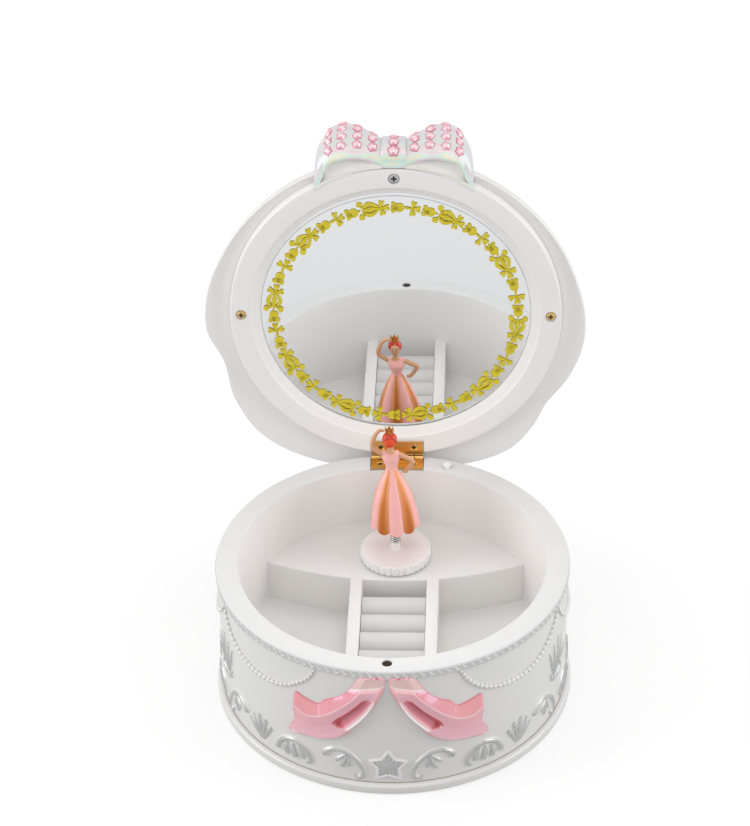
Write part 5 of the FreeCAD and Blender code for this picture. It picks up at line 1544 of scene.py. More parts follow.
@dataclass
class Lid:
    """The lid: lobed shell, ring, and mirror with its printed wreath.

    The outline gives radii by angle. The dome's rows give depth, share of the radius and how much of the
    lobes is left, and the cove's rows give the way out to the edge and the depth.
    """

    tools: Tools
    frame: LidFrame = field(default_factory=LidFrame)
    outline: tuple[Pair, ...] = (
        (-90, 80.5), (-70, 84.5), (-55, 86.8), (-44, 84.0), (-35, 80.8), (-24, 82.4), (-8, 83.0), (13, 79.2),
        (40, 76.4), (65, 75.2), (90, 75.4), (115, 75.2), (140, 77.0), (160, 79.4), (174, 82.2), (187, 83.4),
        (199, 80.2), (211, 84.6), (227, 88.2), (248, 85.2))
    dome: tuple[Triple, ...] = (
        (6.5, 1.0, 1.0), (10.0, 0.985, 1.0), (15.0, 0.93, 0.9), (20.0, 0.82, 0.75), (24.0, 0.64, 0.55),
        (26.6, 0.40, 0.3), (27.6, 0.15, 0.1))
    plain_radius: float = 78.0
    ring_radius: float = 71.6
    ring_face: float = 0.3
    cove_radius: float = 72.1
    cove_depth: float = 5.2
    cove_tuck: Pair = (3.0, 2.0)
    brim_depth: float = 4.0
    cove: tuple[Pair, ...] = (
        (0.0, 5.2), (0.12, 5.15), (0.3, 4.95), (0.5, 4.65), (0.7, 4.3), (0.85, 4.12), (0.94, 4.02))
    mirror_depth: float = 2.7
    mirror_slant: float = 0.02
    glass: tuple[Pair, ...] = ((0.0, 0.0), (59.7, 0.0), (60.0, 0.35), (60.0, 1.8), (0.0, 1.8))
    edge_line: tuple[float, float, float, float] = (58.22, 58.55, 0.02, -0.08)
    brim: tuple[Pair, ...] = ((0.75, 0.0), (0.35, 0.12), (0.08, 0.5))
    ring_back: float = 7.2
    bevel: tuple[Pair, ...] = (
        (62.6, 0.0), (62.2, 0.45), (61.2, 0.75), (60.2, 1.2), (59.3, 1.55), (58.75, 1.8), (58.5, 2.0))
    seat: tuple[Pair, ...] = ((58.5, 0.6), (62.0, 1.2))
    hinge_recess: tuple[Triple, Triple] = ((-11.9, -76.0, -2.0), (11.9, -63.9, 1.05))
    screw_hole: Triple = (2.55, -2.0, 1.5)
    mark_ring: float = 66.4
    mark_angles: tuple[float, ...] = (45.0, 135.0, 225.0, 315.0)
    mark_circle: tuple[Pair, ...] = ((0.75, 0.1), (0.75, -0.1), (1.05, -0.1), (1.05, 0.1))
    mark_dot: tuple[Pair, ...] = ((0.0, 0.1), (0.0, -0.12), (0.4, -0.12), (0.4, 0.1))
    wreath_radius: float = 52.8
    wreath_repeats: int = 10
    wreath_out: float = 0.35
    wreath_size: float = 1.2
    tulip_turns: tuple[float, ...] = (1.5, 16.0)
    palmette_turns: tuple[float, ...] = (23.9,)
    leaf_bow_turns: tuple[float, ...] = (8.8, 30.4)
    patch_edge: tuple[Pair, ...] = ((0.0, 1.0), (0.08, 1.0), (0.25, 0.88))
    petal_stalk: float = 0.15
    petal_sides: tuple[Pair, Pair] = ((0.45, 0.6), (0.78, 0.9))
    notched_tip: Pair = (0.55, -0.18)
    round_tip: Pair = (0.3, 0.06)
    heart_outer: tuple[Pair, ...] = ((-2.0, 0.3), (-1.4, 2.0), (0.2, 2.95), (2.2, 2.3), (4.9, 0.0))
    heart_inner: tuple[Pair, ...] = ((4.9, 0.0), (2.4, 0.9), (0.6, 1.5), (-0.6, 1.1), (-2.0, 0.3))
    heart_drop: tuple[Pair, ...] = (
        (-2.4, 0.0), (-0.4, 0.75), (1.0, 0.9), (3.4, 0.0), (1.0, -0.9), (-0.4, -0.75))
    ring_crease: float = 40.0
    shell_steps: int = 240

    def radius_at(self, angle: float) -> float:
        """Reads the lobed outline on a smooth closed line.

        Args:
            angle: where, in degrees.

        Returns:
            The radius there.
        """
        count = len(self.outline)
        while angle < self.outline[0][0]:
            angle += 360.0
        while angle >= self.outline[0][0] + 360.0:
            angle -= 360.0
        for i in range(count):
            a0, r0 = self.outline[i]
            a1, r1 = self.outline[(i + 1) % count]
            a1 += 360.0 if a1 < a0 else 0.0
            if a0 <= angle <= a1:
                before, after = self.outline[i - 1][1], self.outline[(i + 2) % count][1]
                return between(before, r0, r1, after, (angle - a0) / (a1 - a0))
        return self.outline[0][1]

    def build(self) -> None:
        """Makes all the pieces of the lid but the bow and the screws."""
        self.build_shell()
        self.build_ring()
        self.build_mirror()
        self.build_wreath()

    def build_shell(self) -> None:
        """The lobed shell with its rolled brim and the cove inside it."""
        turns = [FULL * k / self.shell_steps for k in range(self.shell_steps)]
        edges = [self.radius_at(math.degrees(turn)) for turn in turns]
        inward, deeper = self.cove_tuck
        hidden = (self.cove_radius - inward, self.cove_depth + deeper)
        lines = [[self.ring_place(turn, *hidden) for turn in turns]]
        for share, depth in self.cove:
            lines.append([self.ring_place(turn, self.cove_radius + (edge - self.cove_radius) * share, depth)
                          for turn, edge in zip(turns, edges)])
        for inset, depth in self.brim:
            lines.append([self.ring_place(turn, edge - inset, self.brim_depth + depth)
                          for turn, edge in zip(turns, edges)])
        plain = self.plain_radius
        for depth, share, lobes in spline(self.dome, steps=4):
            lines.append([self.ring_place(turn, share * (plain + lobes * (edge - plain)), depth)
                          for turn, edge in zip(turns, edges)])
        form = Form()
        inside = len(self.cove) + 2
        # Rows past the brim take the dome's darker copy of the white: painted shade.
        form.sheet(lines, around=True, caps=True, tint=1, tint_of=lambda i, j: int(i > inside))
        form.change(self.frame.at)
        dome = form.make("lid_dome", (Wear.SHELL, Wear.DOME), crease=50.0)
        settle(dome, Body.LID, "shell_white", "lid_shell")

    @staticmethod
    def ring_place(angle: float, radius: float, depth: float) -> Triple:
        """A place about the lid's middle, the angle counted from +X towards the bow."""
        return radius * math.cos(angle), radius * math.sin(angle), depth

    def build_ring(self) -> None:
        """The flat ring with its stepped bevel down to the mirror and four moulding marks."""
        form = Form()
        face, deep = self.ring_face, self.mirror_depth
        bevel = [(radius, face + depth) for radius, depth in self.bevel]
        seat = [(radius, deep + depth) for radius, depth in self.seat]
        outside = [(self.ring_radius, self.ring_back), (self.ring_radius, face), *bevel[:2]]
        profile = turned(outside, {1: 0.9, 2: 0.3}) + bevel[2:] + seat + [(seat[-1][0], self.ring_back)]
        form.lathe(profile, ROUND)
        form.change(self.frame.at)
        ring = form.make("lid_ring", (Wear.SHELL,), self.ring_crease)
        carve(ring, block(*self.hinge_recess).change(self.frame.at))
        reach = self.frame.screw_ring
        for place in ((-reach, 0.0), (reach, 0.0), (0.0, reach)):
            carve(ring, column(*place, *self.screw_hole, sides=28).change(self.frame.at))
        smooth(ring.data, self.ring_crease)
        settle(ring, Body.LID, "shell_white", "mirror_frame")
        marks = Form()
        for turn in (math.radians(angle) for angle in self.mark_angles):
            middle = (self.mark_ring * math.cos(turn), self.mark_ring * math.sin(turn))
            for outline, sides in ((self.mark_circle, 20), (self.mark_dot, 16)):
                marks.lathe([(radius, face + depth) for radius, depth in outline], sides, middle)
        marks.change(self.frame.at)
        settle(marks.make("ring_moulding_marks", (Wear.SHELL,)), Body.LID, "shell_white")

    def build_mirror(self) -> None:
        """The mirror's silvered glass, with a narrow ground edge."""
        form = Form()
        form.lathe(self.glass, steps=128)
        form.change(self.on_mirror)
        settle(form.make("mirror_glass", (Wear.MIRROR,), crease=5.0), Body.LID, "mirror_glass", "mirror")
        line = Form()
        line.lathe(hoop(*self.edge_line))
        line.change(self.on_mirror)
        settle(line.make("mirror_edge_line", (Wear.SEAL,)), Body.LID, "mirror_glass")

    def on_mirror(self, place: Place) -> Triple:
        """A place in the part's frame, its depth counted from the mirror, which slants a little."""
        depth = self.mirror_depth - self.mirror_slant * place[1] + place[2]
        return self.frame.at((place[0], place[1], depth))

    def build_wreath(self) -> None:
        """The printed wreath of tulips, palmettes and three-leaved bows."""
        shapes = (("tulips", self.tulip(), self.tulip_turns),
                  ("palmettes", self.heart(), self.palmette_turns),
                  ("leaf_bows", self.leaf_bow(), self.leaf_bow_turns))
        stand = Matrix.Rotation(math.radians(90.0 - (self.frame.open_angle - 90.0)), 3, "X")
        period = 360.0 / self.wreath_repeats
        for name, shape, offsets in shapes:
            places = []
            for k in range(self.wreath_repeats):
                for offset in offsets:
                    turn = math.radians(90.0 - offset - period * k)
                    spot = self.ring_place(turn, self.wreath_radius, -self.wreath_out)
                    lean = Matrix.Rotation(turn - math.pi / 2, 3, "Z")
                    places.append((self.on_mirror(spot), tuple((stand @ lean).to_euler()), self.wreath_size))
            wreath = scatter(self.tools.spots, f"wreath_{name}", shape, places, Wear.WREATH)
            settle(wreath, Body.LID, "mirror_glass")

    def patch(self, form: Form, outline: Sequence[Pair]) -> None:
        """A thin raised patch with sloped edges.

        Args:
            form: the mesh it is added to.
            outline: its plan.
        """
        count = len(outline)
        middle = (sum(x for x, _ in outline) / count, sum(y for _, y in outline) / count)
        rows = [[(middle[0] + (x - middle[0]) * grow, middle[1] + (y - middle[1]) * grow, z)
                 for x, y in outline] for z, grow in self.patch_edge]
        form.sheet(rows, around=True, caps=True)

    def petal(self, form: Form, start: Pair, end: Pair, width: float, notch: bool = False) -> None:
        """A leaf, widest near its end.

        Args:
            form: the mesh it is added to.
            start: its stalk end.
            end: its tip.
            width: its width.
            notch: whether its tip is cut in.
        """
        a, b = Vector(start), Vector(end)
        along = b - a
        across = Vector((-along.y, along.x)).normalized() * width
        half, tip = self.notched_tip if notch else self.round_tip
        outline = [a - across * self.petal_stalk, a + across * self.petal_stalk]
        outline += [a + along * share + across * wide for share, wide in self.petal_sides]
        outline += [b + across * half, b + along * tip, b - across * half]
        outline += [a + along * share - across * wide for share, wide in reversed(self.petal_sides)]
        self.patch(form, [tuple(p) for p in outline])

    def disc(self, form: Form, x: float, y: float, wide: float, tall: float, sides: int = 12) -> None:
        """A round or oval patch."""
        self.patch(form, [place[:2] for place in circle((x, y), wide, tall, 0.0, sides)])

    def tulip(self) -> Form:
        """A tulip: a round cup with three lobes.

        Returns:
            The form.
        """
        form = Form()
        self.disc(form, 0.7, 0.0, 1.75, 1.75)
        for y in (-1.45, 0.0, 1.45):
            self.disc(form, -1.55, y, 0.85, 0.75, sides=10)
        self.disc(form, -0.75, 0.0, 1.0, 1.5, sides=10)
        self.petal(form, (2.2, 0.0), (3.3, 0.0), 0.4)
        return form

    def heart(self) -> Form:
        """A pointed palmette of two petals about a drop, with a curl on each side of its foot.

        Returns:
            The form.
        """
        form = Form()
        for side in (-1.0, 1.0):
            outer, inner = (spline([(x, side * y) for x, y in line], steps=5)
                            for line in (self.heart_outer, self.heart_inner))
            self.patch(form, outer[:-1] + inner[:-1])
            self.disc(form, -2.7, side * 2.6, 1.15, 1.05)
            self.petal(form, (-2.6, side * 1.6), (-1.0, side * 0.4), 0.8)
        self.patch(form, spline(self.heart_drop, steps=4, closed=True))
        return form

    def leaf_bow(self) -> Form:
        """Three notched leaves tied to a short stem.

        Returns:
            The form.
        """
        form = Form()
        self.petal(form, (-0.6, 0.2), (0.2, 3.0), 1.3, notch=True)
        self.petal(form, (-0.6, -0.2), (0.2, -3.0), 1.3, notch=True)
        self.petal(form, (-0.4, 0.0), (2.7, 0.0), 1.4, notch=True)
        self.petal(form, (-0.2, 0.0), (-3.0, 0.0), 0.6)
        return form


@dataclass
class Bow:
    """The bow on the lid's front edge: two hollow loops set with gems, and a knot.

    Each station of a loop gives its place across, where the lip ends, the crest, the depth and the mouth's
    edge. The knot's line gives reach, depth and sheen, its slices place across and inset, and its gems reach,
    depth, lean and size.
    """

    tools: Tools
    frame: LidFrame = field(default_factory=LidFrame)
    stations: tuple[tuple[float, float, float, float, float], ...] = (
        (4.6, 77.9, 81.6, 15.0, 73.2), (8.0, 79.0, 83.0, 18.5, 74.0), (12.5, 80.0, 84.4, 22.0, 74.8),
        (17.0, 80.4, 85.3, 25.5, 75.2), (21.0, 79.9, 85.6, 27.0, 75.0), (25.0, 78.8, 84.9, 26.4, 74.2),
        (26.4, 78.0, 84.1, 25.6, 73.6), (27.4, 77.2, 83.3, 25.0, 72.8), (28.2, 76.4, 82.2, 24.2, 71.8),
        (29.0, 75.5, 81.5, 23.3, 70.2), (30.4, 73.4, 80.2, 21.2, 66.2), (31.6, 71.2, 78.6, 19.0, 63.2),
        (32.4, 69.4, 76.6, 16.8, 62.3), (33.0, 67.4, 74.2, 14.4, 61.8), (33.4, 65.6, 71.0, 11.0, 61.6))
    columns: tuple[tuple[float, int], ...] = ((9.2, 3), (15.2, 4), (21.5, 5), (27.6, 4))
    gem_first: float = 2.0
    gem_pitch: float = 4.6
    gem_size: float = 0.98
    gem_sunk: float = 0.12
    gem_points: tuple[int, int] = (7, 15)
    gem_probe: Pair = (1.5, 1.2)
    gem_rings: tuple[Pair, ...] = ((2.45, -0.6), (2.45, 0.06), (2.05, 0.16), (1.85, 0.42), (0.75, 0.85))
    # Each facet's sheen is a painted reflection that makes the facets lighter and darker.
    gem_sheens: tuple[float, ...] = (0.55, 1.0, 0.4, 0.85, 0.65)
    seat_sheens: tuple[float, ...] = (0.05, 0.05, 0.35)
    table_sheen: float = 0.9
    ring_radius: float = 71.75
    ring_edge: Triple = (72.3, 2.3, 31.0)
    case_radius: float = 76.4
    pocket_deep: float = 2.6
    frame_back: float = 7.4
    knot_middle: float = 76.0
    knot_half: float = 5.2
    knot_waist: float = 7.0
    knot_shrink: float = 0.1
    knot_pinch: float = 0.6
    knot_fade: float = 0.3
    knot_line: tuple[Triple, ...] = (
        (72.4, 0.6, 0.2), (72.3, 0.14, 0.35), (74.2, 0.08, 0.75), (75.8, 0.0, 0.55), (77.0, -0.4, 0.9),
        (78.6, -0.3, 0.5), (80.6, 1.4, 0.2), (82.0, 4.0, 0.0), (82.6, 7.2, 0.0), (82.0, 10.6, 0.0),
        (80.2, 13.6, 0.0), (77.0, 15.2, 0.0), (72.0, 15.2, 0.0), (71.8, 8.0, 0.0))
    knot_slices: tuple[Pair, ...] = (
        (-5.2, 1.0), (-5.1, 0.5), (-4.7, 0.15), (-3.4, 0.0), (-1.7, -0.1), (0.0, -0.12), (1.7, -0.1),
        (3.4, 0.0), (4.7, 0.15), (5.1, 0.5), (5.2, 1.0))
    knot_gems: tuple[tuple[float, float, float, float], ...] = (
        (80.0, 0.75, 0.68, 1.12), (82.15, 4.4, 1.2, 1.0), (82.55, 8.8, 1.65, 0.9))

    def section(self, x: float, lip: float, crest: float, depth: float, mouth: float) -> list[Triple]:
        """One slice across a loop, from the mouth's edge over the top and back.

        Args:
            x: its place across.
            lip: where the lip ends.
            crest: the highest reach.
            depth: how deep the loop is.
            mouth: where the mouth's edge lies.

        Returns:
            Reach, depth and sheen of each point.
        """
        widest, drop, half = self.ring_edge
        edge = math.sqrt((widest - drop * (x / half) ** 2) ** 2 - x * x)
        base = math.sqrt(self.ring_radius ** 2 - x * x)
        mouth = max(mouth, edge + 0.5)
        rise = crest - lip
        band = lip - mouth
        pocket = min(self.pocket_deep, 0.7 * (mouth - edge))
        bulge = -0.5 if math.hypot(x, mouth + band * 0.2) > self.case_radius else 0.12
        wave = 0.5 + 0.5 * math.sin(x * 0.42 - 2.0)
        glow = 0.5 + 0.5 * math.sin(x * 0.25 + 1.0)
        # The lip's hues are a painted pearly sheen; the pocket under the lip is painted near-white to offset
        # the lip's shade: painted light.
        return [(mouth, 1.0, 0.9 * wave), (mouth + 0.06, 0.5, 0.7 * wave),
                (mouth + band * 0.1, 0.2, 0.75 * glow), (mouth + band * 0.28, bulge, 0.65 * glow),
                (mouth + band * 0.5, bulge, 0.45 + 0.4 * wave),
                (mouth + band * 0.75, bulge * 0.6 + 0.1, 0.3 + 0.55 * wave),
                (lip - band * 0.08, 0.35, 0.5 * wave), (lip + rise * 0.1, 0.8, 0.1),
                (lip + rise * 0.53, 0.14 * depth, 0.0), (lip + rise * 0.86, 0.30 * depth, 0.0),
                (crest, 0.47 * depth, 0.0), (crest - rise * 0.2, 0.64 * depth, 0.0),
                (crest - rise * 0.6, 0.80 * depth, 0.0), (crest - rise * 0.95, 0.93 * depth, 0.0),
                (crest - rise * 1.5, depth, 0.0), (base + 1.0, depth, 0.0),
                (base + 0.2, max(self.frame_back, 0.55 * depth), 0.0), (base + 0.2, 0.4, 0.0),
                (edge, 0.26, 0.0), (edge, 0.12, 0.1), (max(edge, base) + 0.15, 0.14, 0.9),
                (max(edge, base) + 0.25, pocket * 0.5 + 0.1, 0.95),
                (edge + (mouth - edge) * 0.45, pocket * 0.9 + 0.2, 1.0),
                (edge + (mouth - edge) * 0.8, pocket + 0.3, 0.95), (mouth - 0.02, pocket * 0.7 + 0.5, 0.8)]

    @staticmethod
    def fine(stations: Sequence[Sequence[float]], steps: int) -> list[list[float]]:
        """More stations between those given, on smooth lines."""
        tracks = [spline([(s[0], s[k], 0.0) for s in stations], steps) for k in range(1, len(stations[0]))]
        return [[tracks[0][i].x] + [t[i].y for t in tracks] for i in range(len(tracks[0]))]

    def build(self) -> None:
        """Makes both loops, the knot and the gems."""
        gems: list[Setting] = []
        slices = [(row[0], self.section(*row)) for row in self.fine(self.stations, steps=5)]
        for side, name in ((-1.0, "left"), (1.0, "right")):
            form = Form()
            rows = [[(side * x, v, n) for v, n, _ in cut] for x, cut in slices]
            sheens = [[min(1.0, max(0.0, sheen)) for _, _, sheen in cut] for _, cut in slices]
            form.sheet(rows, around=True, caps=True, sheens=sheens)
            form.change(self.frame.at)
            settle(form.make(f"bow_loop_{name}_pearl", (Wear.BOW,), crease=60.0), Body.LID, "bow_pearl",
                   f"bow_loop_{name}")
            gems += self.gem_places(slices, side)
        gems += self.build_knot()
        stones = scatter(self.tools.spots, "bow_gems", self.gem(), gems, Wear.GEM, crease=0.0)
        settle(stones, Body.LID, "bow_pearl")

    def surface(self, slices: Sequence[Slice], x: float, far: float) -> Vector:
        """Finds a place on the part of a loop that has gems.

        Args:
            slices: the loop's slices.
            x: the place across.
            far: the way along the slice from the lip.

        Returns:
            The place.
        """
        near = min(slices, key=lambda s: abs(s[0] - x))
        first, last = self.gem_points
        line = [Vector((near[0], v, n)) for v, n, _ in near[1][first:last]]
        for a, b in zip(line, line[1:]):
            step = (b - a).length
            if far <= step:
                return a + (b - a) * (far / step)
            far -= step
        return line[-1]

    def gem_places(self, slices: Sequence[Slice], side: float) -> list[Setting]:
        """Sets out the gems of one loop.

        Args:
            slices: the loop's slices.
            side: -1 for the left loop and 1 for the right.

        Returns:
            Place, turn and size of each gem.
        """
        places = []
        aside, ahead = self.gem_probe
        for x, count in self.columns:
            for k in range(count):
                far = self.gem_first + k * self.gem_pitch
                spot = self.surface(slices, x, far)
                beside = self.surface(slices, x + aside, far) - self.surface(slices, x - aside, far)
                along = self.surface(slices, x, far + ahead) - self.surface(slices, x, far - ahead)
                facing = along.cross(beside).normalized()
                facing = -facing if facing.y < 0.0 else facing
                turn = self.frame.turn(Vector((side * facing.x, facing.y, facing.z)))
                spot -= facing * self.gem_sunk
                places.append((self.frame.at((side * spot.x, spot.y, spot.z)), turn, self.gem_size))
        return places

    def gem(self) -> Form:
        """A faceted five-sided stone in a narrow, deeper pink seat, partly painted shade; each facet has its
        own sheen, a painted reflection.

        Returns:
            The form.
        """
        form = Form()
        sides = len(self.gem_sheens)
        for i, pair in enumerate(zip(self.gem_rings, self.gem_rings[1:])):
            for k in range(sides):
                sheen = self.seat_sheens[i] if i < len(self.seat_sheens) else self.gem_sheens[k]
                corners = []
                for (radius, level), step in ((pair[0], k), (pair[0], k + 1), (pair[1], k + 1), (pair[1], k)):
                    turn = FULL * step / sides
                    corners.append(form.point((radius * math.sin(turn), radius * math.cos(turn), level),
                                              sheen))
                form.face(corners)
        radius, level = self.gem_rings[-1]
        turns = [FULL * k / sides for k in range(sides)]
        form.face([form.point((radius * math.sin(turn), radius * math.cos(turn), level), self.table_sheen)
                   for turn in turns])
        return form

    def build_knot(self) -> list[Setting]:
        """Makes the knot between the loops.

        Returns:
            Place, turn and size of each of its gems.
        """
        rows, sheens = [], []
        middle = self.knot_middle
        for x, inset in self.knot_slices:
            pinch, shrink = max(0.0, inset), 1.0 - inset * self.knot_shrink
            rows.append([(x, middle + (reach - middle) * shrink,
                          depth + pinch * (1.0 if depth < self.knot_waist else -1.0) * self.knot_pinch)
                         for reach, depth, _ in self.knot_line])
            fade = self.knot_fade * abs(x) / self.knot_half
            sheens.append([sheen * (1.0 - fade) for _, _, sheen in self.knot_line])
        form = Form()
        form.sheet(rows, around=True, caps=True, sheens=sheens)
        form.change(self.frame.at)
        settle(form.make("bow_knot_pearl", (Wear.BOW,), crease=55.0), Body.LID, "bow_pearl", "bow_knot")
        places = []
        for reach, depth, lean, size in self.knot_gems:
            facing = Vector((0.0, math.sin(lean), -math.cos(lean)))
            places.append((self.frame.at((0.0, reach, depth)), self.frame.turn(facing), size))
        return places


@dataclass(frozen=True)
class ScrewSet:
    """Screws of one kind: where their heads sit, how large they are and what they stand for."""

    name: str
    node: str
    places: tuple[Setting, ...]
    radius: float
    rise: float
    body: Body
    wear: Wear = Wear.SCREW_BRASS
    slot: str = "hinge_brass"


@dataclass
class Fixings:
    """Domed cross-head screws on the hinge and the lid's ring, and finishes for the metal parts."""

    tools: Tools
    frame: LidFrame = field(default_factory=LidFrame)
    leaf_screw_x: float = 7.4
    lower_leaf: Pair = (67.8, 64.0)
    lower_turn: float = 0.4
    upper_leaf: Pair = (-67.8, 0.75)
    ring_depth: float = 0.95
    head_foot: Pair = (-1.0, 0.05)
    head_steps: int = 5
    cross_share: float = 0.58
    cross_rise: float = 0.1
    cross_deep: float = 0.3
    cross_curve: float = 0.06
    arm_share: float = 0.3
    joint_radius: float = 1.95
    joint_places: tuple[float, ...] = (-7.6, -3.85, 3.85, 7.6)
    joint_wire: float = 0.16
    joint_steps: int = 24
    seam_span: Pair = (4.0, 11.4)
    seams: tuple[Triple, ...] = ((-2.0, -0.2, 0.26), (-0.9, 1.78, 0.24))

    def head(self, radius: float, rise: float) -> Form:
        """A domed screw head whose edge is just over the origin's level.

        Args:
            radius: its radius.
            rise: how far it is domed.

        Returns:
            The form.
        """
        form = Form()
        low, edge = self.head_foot
        turns = [math.pi / 2 * k / self.head_steps for k in range(1, self.head_steps + 1)]
        profile = [(0.0, low), (radius, low), (radius, edge)]
        profile += [(radius * math.cos(turn), edge + rise * math.sin(turn)) for turn in turns]
        form.lathe(profile, steps=20)
        return form

    def cross(self, size: float, level: float) -> Form:
        """A dark cross of painted shade that stands for the driver's recess and follows the dome.

        Args:
            size: half its width.
            level: its height at the middle.

        Returns:
            The form.
        """
        form = Form()
        wide = size * self.arm_share
        quarter = ((-wide, -size), (wide, -size), (wide, -wide))
        outline = list(quarter)
        for _ in range(3):
            quarter = tuple((-y, x) for x, y in quarter)
            outline += quarter
        square = size * size
        rows = [[(x, y, z - self.cross_curve * (x * x + y * y) / square) for x, y in outline]
                for z in (level - self.cross_deep, level)]
        form.sheet(rows, around=True, caps=True)
        return form

    def build(self) -> None:
        """Makes the screw heads, the painted shade of their cross recesses and the dark lines of painted
        shade in the hinge's joints.
        """
        across, ring = self.leaf_screw_x, self.frame.screw_ring
        front = self.frame.turn(Vector((0.0, 0.0, -1.0)))
        lower = tuple(((x, *self.lower_leaf), (0.0, 0.0, self.lower_turn), 1.0) for x in (-across, across))
        upper = tuple((self.frame.at((x, *self.upper_leaf)), front, 1.0) for x in (-across, across))
        sides = tuple((self.frame.at((x, 0.0, self.ring_depth)), front, 1.0) for x in (-ring, ring))
        catch = ((self.frame.at((0.0, ring, self.ring_depth)), front, 1.0),)
        for screws in (ScrewSet("hinge_lower_screw", "hinge_lower_screws", lower, 1.75, 0.5, Body.CASE),
                       ScrewSet("hinge_upper_screw", "hinge_upper_screws", upper, 1.75, 0.5, Body.LID),
                       ScrewSet("ring_side_screw", "lid_screws", sides, 1.9, 0.5, Body.LID),
                       ScrewSet("ring_front_screw", "catch_screw", catch, 2.2, 0.45, Body.LID, Wear.STEEL,
                                "screw_steel")):
            head = self.head(screws.radius, screws.rise)
            cross = self.cross(screws.radius * self.cross_share, screws.rise + self.cross_rise)
            heads = scatter(self.tools.spots, f"{screws.name}_heads", head, screws.places, screws.wear,
                            crease=40.0)
            settle(heads, screws.body, screws.slot, screws.node)
            # Dark crosses of painted shade for the recesses.
            recess_shades = scatter(self.tools.spots, f"{screws.name}_crosses", cross, screws.places, Wear.DARK,
                              crease=20.0)
            settle(recess_shades, screws.body, screws.slot)
        self.build_knuckles()

    def build_knuckles(self) -> None:
        """Dark lines of painted shade in the gaps between the hinge's knuckles and along the barrel's edges.
        """
        form = Form()
        y, z, radius = self.frame.pin_y, self.frame.pin_z, self.joint_radius
        turns = [FULL * k / self.joint_steps for k in range(self.joint_steps + 1)]
        for x in self.joint_places:
            ring = [(x, y + radius * math.cos(turn), z + radius * math.sin(turn)) for turn in turns]
            form.tube(ring, self.joint_wire, sides=6)
        for side in (-1.0, 1.0):
            for fore, up, wire in self.seams:
                form.tube([(side * x, y + fore, z + up) for x in self.seam_span], wire, sides=6)
        settle(form.make("hinge_joint_lines", (Wear.DARK,), crease=60.0), Body.CASE, "hinge_brass")

    @staticmethod
    def dress(nodes: dict[str, bpy.types.Object]) -> None:
        """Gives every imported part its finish.

        Args:
            nodes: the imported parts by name.
        """
        wears = {Wear.BRASS: ("hinge_lower_leaf", "hinge_upper_leaf", "hinge_pin", "barrel_cover",
                              "spring_barrel", "cylinder", "cylinder_gear", "cylinder_pinion",
                              "governor_pinion", "governor_wheel", "turntable_gear", "ratchet_wheel"),
                 Wear.STEEL: ("comb", "comb_screws", "cylinder_pins", "cylinder_arbor", "governor_arbor",
                              "fly_worm", "mainspring", "winding_arbor", "winding_key", "base_screws",
                              "movement_screws", "click_spring", "plunger_spring", "stop_wire",
                              "turntable_shaft", "dancer_pin"),
                 Wear.ZINC: ("movement_bedplate", "governor_bracket"),
                 Wear.MAGNET: ("catch_magnet",), Wear.CARD: ("mirror_backing",),
                 Wear.SHELL: ("stop_plunger",), Wear.DARK: ("fly_vane",)}
        chosen = {name: wear for wear, names in wears.items() for name in names}
        for name, node in nodes.items():
            node.data.materials.clear()
            node.data.materials.append(chosen.get(name, Wear.SHELL).value.make())


@dataclass
class Spring:
    """A round wire wound upwards from the case."""

    name: str
    middle: Pair
    radius: float
    wire: float
    low: float
    high: float
    pitch: float
    bend: Pair
    steps_per_turn: int = 14

    def build(self, wear: Wear, body: Body, slot: str, *nodes: str) -> None:
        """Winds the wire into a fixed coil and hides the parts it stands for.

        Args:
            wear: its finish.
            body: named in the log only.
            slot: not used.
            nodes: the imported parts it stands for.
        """
        turns = (self.high - self.low) / self.pitch
        steps = int(turns * self.steps_per_turn)
        path = []
        for k in range(steps + 1):
            angle = FULL * turns * k / steps
            path.append((self.middle[0] + self.radius * math.cos(angle),
                         self.middle[1] + self.radius * math.sin(angle),
                         self.low + (self.high - self.low) * k / steps))
        coil = Form()
        coil.tube(path, self.wire, sides=8)
        made = coil.make(self.name, (wear,), crease=60.0)
        start, end = ((self.middle[0] * MM, self.middle[1] * MM, level * MM) for level in self.bend)
        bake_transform(made)
        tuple(start)
        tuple(end)
        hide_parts(*nodes)
        log.info("%s bends between the case and %s", made.name, body.value)


@dataclass
class Turntable:
    """The fluted turntable under the dancer."""

    middle: Pair = (0.0, 38.0)
    radius: float = 15.6
    low: float = 36.6
    top: float = 41.0
    boss_radius: float = 2.0
    boss_top: float = 44.4
    flutes: int = 34
    flute_deep: float = 0.7
    flute_steps: int = 8
    foot_edge: float = 0.4
    rim_edge: tuple[Pair, ...] = ((0.0, -0.55), (-0.2, -0.18))
    face_edge: float = 1.15
    boss_foot: tuple[Pair, ...] = ((0.9, 0.0), (0.25, 0.3), (0.0, 1.0))
    boss_edge: tuple[Pair, ...] = ((0.0, -0.3), (-0.35, 0.0))
    face_column: int = 5

    def build(self) -> None:
        """Makes the disc."""
        form = Form()
        rows = []
        steps = self.flutes * self.flute_steps
        boss = [(self.boss_radius + out, self.top + up) for out, up in self.boss_foot]
        boss += [(self.boss_radius + out, self.boss_top + up) for out, up in self.boss_edge]
        for k in range(steps):
            angle = FULL * k / steps
            rim = self.radius - self.flute_deep * (1.0 - abs(math.cos(self.flutes * angle / 2.0)))
            profile = [(0.0, self.low), (rim - self.foot_edge, self.low), (rim, self.low + self.foot_edge)]
            profile += [(rim + out, self.top + up) for out, up in self.rim_edge]
            profile += [(self.radius - self.face_edge, self.top), *boss, (0.0, self.boss_top)]
            rows.append([about(self.middle, radius, angle, level) for radius, level in profile])
        form.sheet(rows, around=True, loop=True, tint_of=lambda i, j: int(j != self.face_column))
        disc = form.make("turntable_fluted", (Wear.DISC, Wear.SHELL))
        settle(disc, Body.TURNTABLE, "shell_white", "turntable_disc")


